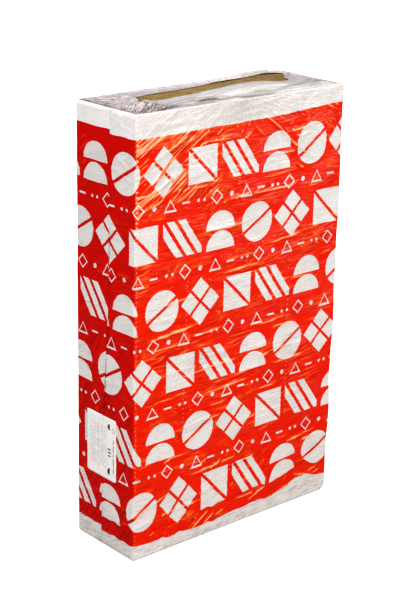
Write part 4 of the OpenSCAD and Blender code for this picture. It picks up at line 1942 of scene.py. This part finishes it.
@dataclass
class VentHoles:
    """Rows of pricked vent holes on the front of the film, placed by Geometry Nodes."""

    film: FilmSleeve
    material: Material
    pitch: float = 0.0108
    rim: float = 0.0011
    rise: float = 0.00018
    seed: int = 29
    #: The rows of holes: place round the web, lowest and highest hole, and how far the row leans.
    rows = ((0.0052, 0.13, 0.962, 0.0), (0.138, 0.266, 0.624, 0.008), (0.452, 0.24, 0.60, -0.006))

    def build(self) -> Piece:
        """Places one dished rim on each hole and returns them as a plain mesh."""
        places, facing = self._places()
        carrier = mesh_object("vent_carrier", places, [])
        layer = carrier.data.attributes.new("facing", "FLOAT_VECTOR", "POINT")
        layer.data.foreach_set("vector", facing.astype(np.float32).ravel())
        sizes = {"Rim": self.rim, "Rise": self.rise}
        return plain_result(carrier, self._tree(sizes), sizes, "vent_holes")

    def _places(self) -> tuple[Array, Array]:
        """Points on the film, with the direction that the film faces there."""
        sleeve, rng = self.film.sleeve, np.random.default_rng(self.seed)
        missing, wander, step, gap = 0.10, 0.00035, 0.0006, 0.00005
        points, normals = [], []
        for u, low, high, lean in self.rows:
            for z in np.arange(low, high, self.pitch):
                if rng.random() < missing:
                    continue
                across = u + lean * (z - low) / (high - low) + rng.normal(0, wander)
                near = np.array([across, across + step, across]), np.array([z, z, z + step])
                here, beside, above = self.film.creases.relief(*near)
                points.append((across - sleeve.half_x, -sleeve.half_y - here - gap, z))
                normals.append(Vector(((here - beside) / step, -1.0, (here - above) / step)).normalized())
        return np.array(points), np.array(normals)

    def _tree(self, sizes: dict[str, object]) -> Tree:
        """Builds the placing: a low cone with an open top on each point, turned to face off the film.

        Args:
            sizes: Value of each input.

        Returns:
            The tree.
        """
        g, given, out = new_scatter("Vent rims", sizes)
        rim = given["Rim"]
        size = {"Vertices": 8, "Radius Top": rim * 0.55, "Radius Bottom": rim, "Depth": given["Rise"]}
        cone = g.fed("GeometryNodeMeshCone", size, fill_type="NGON").outputs["Mesh"]
        facing = g.fed("GeometryNodeInputNamedAttribute", {"Name": "facing"}, data_type="FLOAT_VECTOR")
        outward = {"Vector": facing.outputs["Attribute"]}
        turned = g.fed("FunctionNodeAlignRotationToVector", outward, axis="Z").outputs[0]
        placed = {"Points": given["Geometry"], "Instance": cone, "Rotation": turned}
        spread = g.fed("GeometryNodeInstanceOnPoints", placed)
        g.finish(spread.outputs["Instances"], self.material, out)
        return g.tree


@dataclass
class PaperLabel:
    """The paper label on the narrow face, which lies over the film's lap and follows it."""

    low: Vector
    high: Vector
    film: FilmSleeve
    finish: LabelPaper
    corner: float = 0.007
    wall: float = 0.0003
    gap: float = 0.0005
    rings: int = 16
    arc_points: int = 8
    side_points: int = 20

    def build(self) -> Piece:
        """Builds the label as a thin closed sheet of rounded rings about its middle."""
        outline = self._outline()
        centre = np.array([(self.low.y + self.high.y) / 2, (self.low.z + self.high.z) / 2])
        shares = np.linspace(1, 0, self.rings + 1)[:-1] ** 0.9
        plan = np.concatenate([centre + (outline - centre) * s for s in shares] + [centre[None, :]])
        under = self._lay(plan)
        over = under - np.array([self.wall, 0, 0])
        size, count = len(outline), len(plan)
        faces = grid_faces(self.rings, size, wrap=True)
        last = (self.rings - 1) * size
        faces += [[last + i, last + (i + 1) % size, count - 1] for i in range(size)]
        back = [[i + count for i in reversed(f)] for f in faces]
        rim = [[i, i + count, (i + 1) % size + count, (i + 1) % size] for i in range(size)]
        label = mesh_object("paper_label", np.concatenate([over, under]), faces + back + rim)
        self._map_sheet(label.data)
        label.data.materials.append(self.finish.material())
        return label

    def _outline(self) -> Array:
        """The rounded outline in y and z, anticlockwise as seen from outside."""
        low, high = np.array(self.low[1:]) + self.corner, np.array(self.high[1:]) - self.corner
        quarter = np.linspace(0, math.pi / 2, self.arc_points)
        arcs = []
        for k, middle in enumerate((low, (high[0], low[1]), high, (low[0], high[1]))):
            angle = quarter + (2 + k) * math.pi / 2
            arcs.append(middle + self.corner * np.column_stack([np.cos(angle), np.sin(angle)]))
        return closed_path(arcs, (self.side_points,) * 4)[::-1]

    def _lay(self, plan: Array) -> Array:
        """Lays places in y and z on the film, with a gap under the sheet.

        Args:
            plan: One row of y and z a place.

        Returns:
            One row of x, y and z a place.
        """
        sleeve = self.film.sleeve
        y, z = plan[:, 0], plan[:, 1]
        relief = self.film.creases.relief(-(y + sleeve.half_y), z)
        seam = self.film.seam_shift(z)
        lap = smoothstep(seam + 0.006, seam, y) * smoothstep(seam - 0.052, seam - 0.040, y)
        ripple = 0.00025 * lattice_noise(y * 60, z * 40, 61)
        x = -sleeve.half_x - relief - sleeve.step * lap - self.gap - ripple
        return np.column_stack([x, y, z])

    def _map_sheet(self, mesh: Mesh) -> None:
        """Writes the sheet's UV map in metres from its lower left corner, seen from outside."""
        layer = mesh.uv_layers.new(name="sheet")
        for loop in mesh.loops:
            place = mesh.vertices[loop.vertex_index].co
            layer.data[loop.index].uv = (self.high.y - place.y, place.z - self.low.z)


# ---- Studio ----


@dataclass(frozen=True)
class SoftBox:
    """One rectangular area light that looks at a point."""

    name: str
    place: Place
    target: Place
    width: float
    height: float
    watts: float
    colour: Place

    def build(self) -> None:
        """Adds the light to the scene."""
        data = bpy.data.lights.new(self.name, "AREA")
        data.shape = "RECTANGLE"
        data.size = self.width
        data.size_y = self.height
        data.energy = self.watts
        data.color = self.colour
        lamp = link(self.name, data)
        lamp.location = self.place
        lamp.rotation_euler = (Vector(self.target) - Vector(self.place)).to_track_quat("-Z", "Y").to_euler()


@dataclass
class Studio:
    """Pale floor, soft lights, a bright plain surround and the camera."""

    azimuth: float = math.radians(41.31)
    elevation: float = math.radians(18.59)
    roll: float = math.radians(1.20)
    eye: Place = (-2.166, -2.430, 1.617)
    lens: float = 90.76
    overhead: Place = (0.05, 0.06, -1.0)
    overhead_strength: float = 1.40
    overhead_spread: float = math.radians(16)
    surround: float = 0.34
    surround_seen: float = 0.80
    surround_mirrored: float = -0.28
    floor_reach: float = 40.0
    floor_glow: float = 0.30
    lights: tuple[SoftBox, ...] = (
        SoftBox("key", (2.3, -2.8, 1.35), (0.0, 0.0, 0.5), 0.7, 1.2, 32, (1.0, 0.955, 0.90)),
        SoftBox("fill", (-2.6, -2.0, 1.9), (0.0, 0.0, 0.6), 1.6, 1.2, 45, (1.0, 0.975, 0.96)),
        SoftBox("rear", (0.9, 3.4, 1.0), (0.0, 0.0, 0.5), 1.6, 1.4, 30, (1.0, 0.985, 0.97)),
    )

    def place_camera(self) -> None:
        """Adds the camera, turned by its azimuth, elevation and roll."""
        sin_a, cos_a = math.sin(self.azimuth), math.cos(self.azimuth)
        sin_e, cos_e = math.sin(self.elevation), math.cos(self.elevation)
        forward = Vector((sin_a * cos_e, cos_a * cos_e, -sin_e))
        level = Vector((cos_a, -sin_a, 0.0))
        upright = level.cross(forward)
        right = math.cos(self.roll) * level + math.sin(self.roll) * upright
        up = -math.sin(self.roll) * level + math.cos(self.roll) * upright
        data = bpy.data.cameras.new("camera")
        data.sensor_width = 36.0
        data.lens = self.lens
        camera = link("camera", data)
        turned = Matrix((right, up, -forward)).transposed()
        camera.matrix_world = Matrix.Translation(self.eye) @ turned.to_4x4()
        bpy.context.scene.camera = camera

    def light(self) -> None:
        """Adds the lights and the surround, and sets how colours are shown."""
        for box in self.lights:
            box.build()
        data = bpy.data.lights.new("overhead", "SUN")
        data.energy = self.overhead_strength
        data.angle = self.overhead_spread
        link("overhead", data).rotation_euler = Vector(self.overhead).to_track_quat("-Z", "Y").to_euler()
        scene = bpy.context.scene
        scene.view_settings.view_transform = "Standard"
        scene.view_settings.look = "High Contrast"
        world = scene.world = bpy.data.worlds.new("surround")
        world.use_nodes = True
        w = Wiring(world.node_tree)
        background = world.node_tree.nodes["Background"].inputs
        w.put((1, 1, 1, 1), background["Color"])
        seen = w.ray("Camera") * self.surround_seen + self.surround
        w.put(w.ray("Glossy") * self.surround_mirrored + seen, background["Strength"])

    def lay_floor(self) -> Piece:
        """Adds the pale floor."""
        corners = np.array([(-1, -1, 0), (1, -1, 0), (1, 1, 0), (-1, 1, 0)]) * self.floor_reach
        floor = mesh_object("floor", corners, [[0, 1, 2, 3]])
        material, w, shader = new_material("Pale floor", 0.9)
        pale = w.mix(w.noise(w.place(), scale=3.0), (0.90, 0.90, 0.90, 1), (0.93, 0.93, 0.93, 1))
        bounced = w.mix(w.ray("Glossy"), (0.46, 0.45, 0.44, 1), (0.10, 0.10, 0.10, 1))
        w.put(w.mix(w.ray("Camera"), bounced, pale), shader["Base Color"])
        w.put((1, 1, 1, 1), shader["Emission Color"])
        w.put(w.ray("Camera") * self.floor_glow, shader["Emission Strength"])
        floor.data.materials.append(material)
        return floor


# ---- The pack ----


class Slot(Enum):
    """Names of material slots."""

    WOOL = "wool"
    FILM = "film"
    LABEL = "label"


def enlist(piece: Piece, slot: Slot, *stands_for: str) -> None:
    """Puts a piece on the pack's one body and reports it.

    Args:
        piece: The finished piece.
        slot: Its material slot; not used.
        *stands_for: The nodes it takes the place of.
    """
    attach(piece, "root")
    if stands_for:
        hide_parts(*stands_for)
    log.info("%s: %d faces", piece.name, len(piece.data.polygons))


def main() -> None:
    """Builds the studio and the pack's pieces in order."""
    logging.basicConfig(level=logging.INFO, format="%(name)s: %(message)s")
    studio = Studio()
    studio.place_camera()
    effects = Effects()

    wool_low, wool_high = (Vector(v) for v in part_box("board_front"))
    reach = wool_low.z
    sleeve = Sleeve(half_x=wool_high.x + reach, half_y=-wool_low.y + reach, top=wool_high.z + reach)

    film = FilmSleeve(sleeve, PrintedFilm(effects))
    for web in film.build():
        enlist(web, Slot.FILM, "shrink_film")

    wool = MineralWool(effects).material()
    for node, outward, seed in (("board_front", -1, 71), ("board_back", 1, 83)):
        low, high = (Vector(v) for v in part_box(node))
        enlist(WoolBoard("wool_" + node, low, high, outward, wool, seed).build(), Slot.WOOL, node)

    (left, front), (right, back) = sleeve.mouth_low, sleeve.mouth_high
    middle = Vector(((left + right) / 2, (front + back) / 2, wool_high.z))
    enlist(LooseFibres(middle, right - left, back - front, LOOSE_FIBRE.material()).build(), Slot.WOOL)

    label_low, label_high = (Vector(v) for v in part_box("label"))
    paper = LabelPaper(effects, label_high.y - label_low.y, label_high.z - label_low.z)
    enlist(PaperLabel(label_low, label_high, film, paper).build(), Slot.LABEL, "label")

    enlist(VentHoles(film, VENT_RIM.material()).build(), Slot.FILM)

    studio.lay_floor()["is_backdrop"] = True
    studio.light()

    boxes = {"cad": CAD_BOUNDS, "visual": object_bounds()}
    {name: [list(map(float, corner)) for corner in box] for name, box in boxes.items()}


if __name__ == "__main__":
    main()
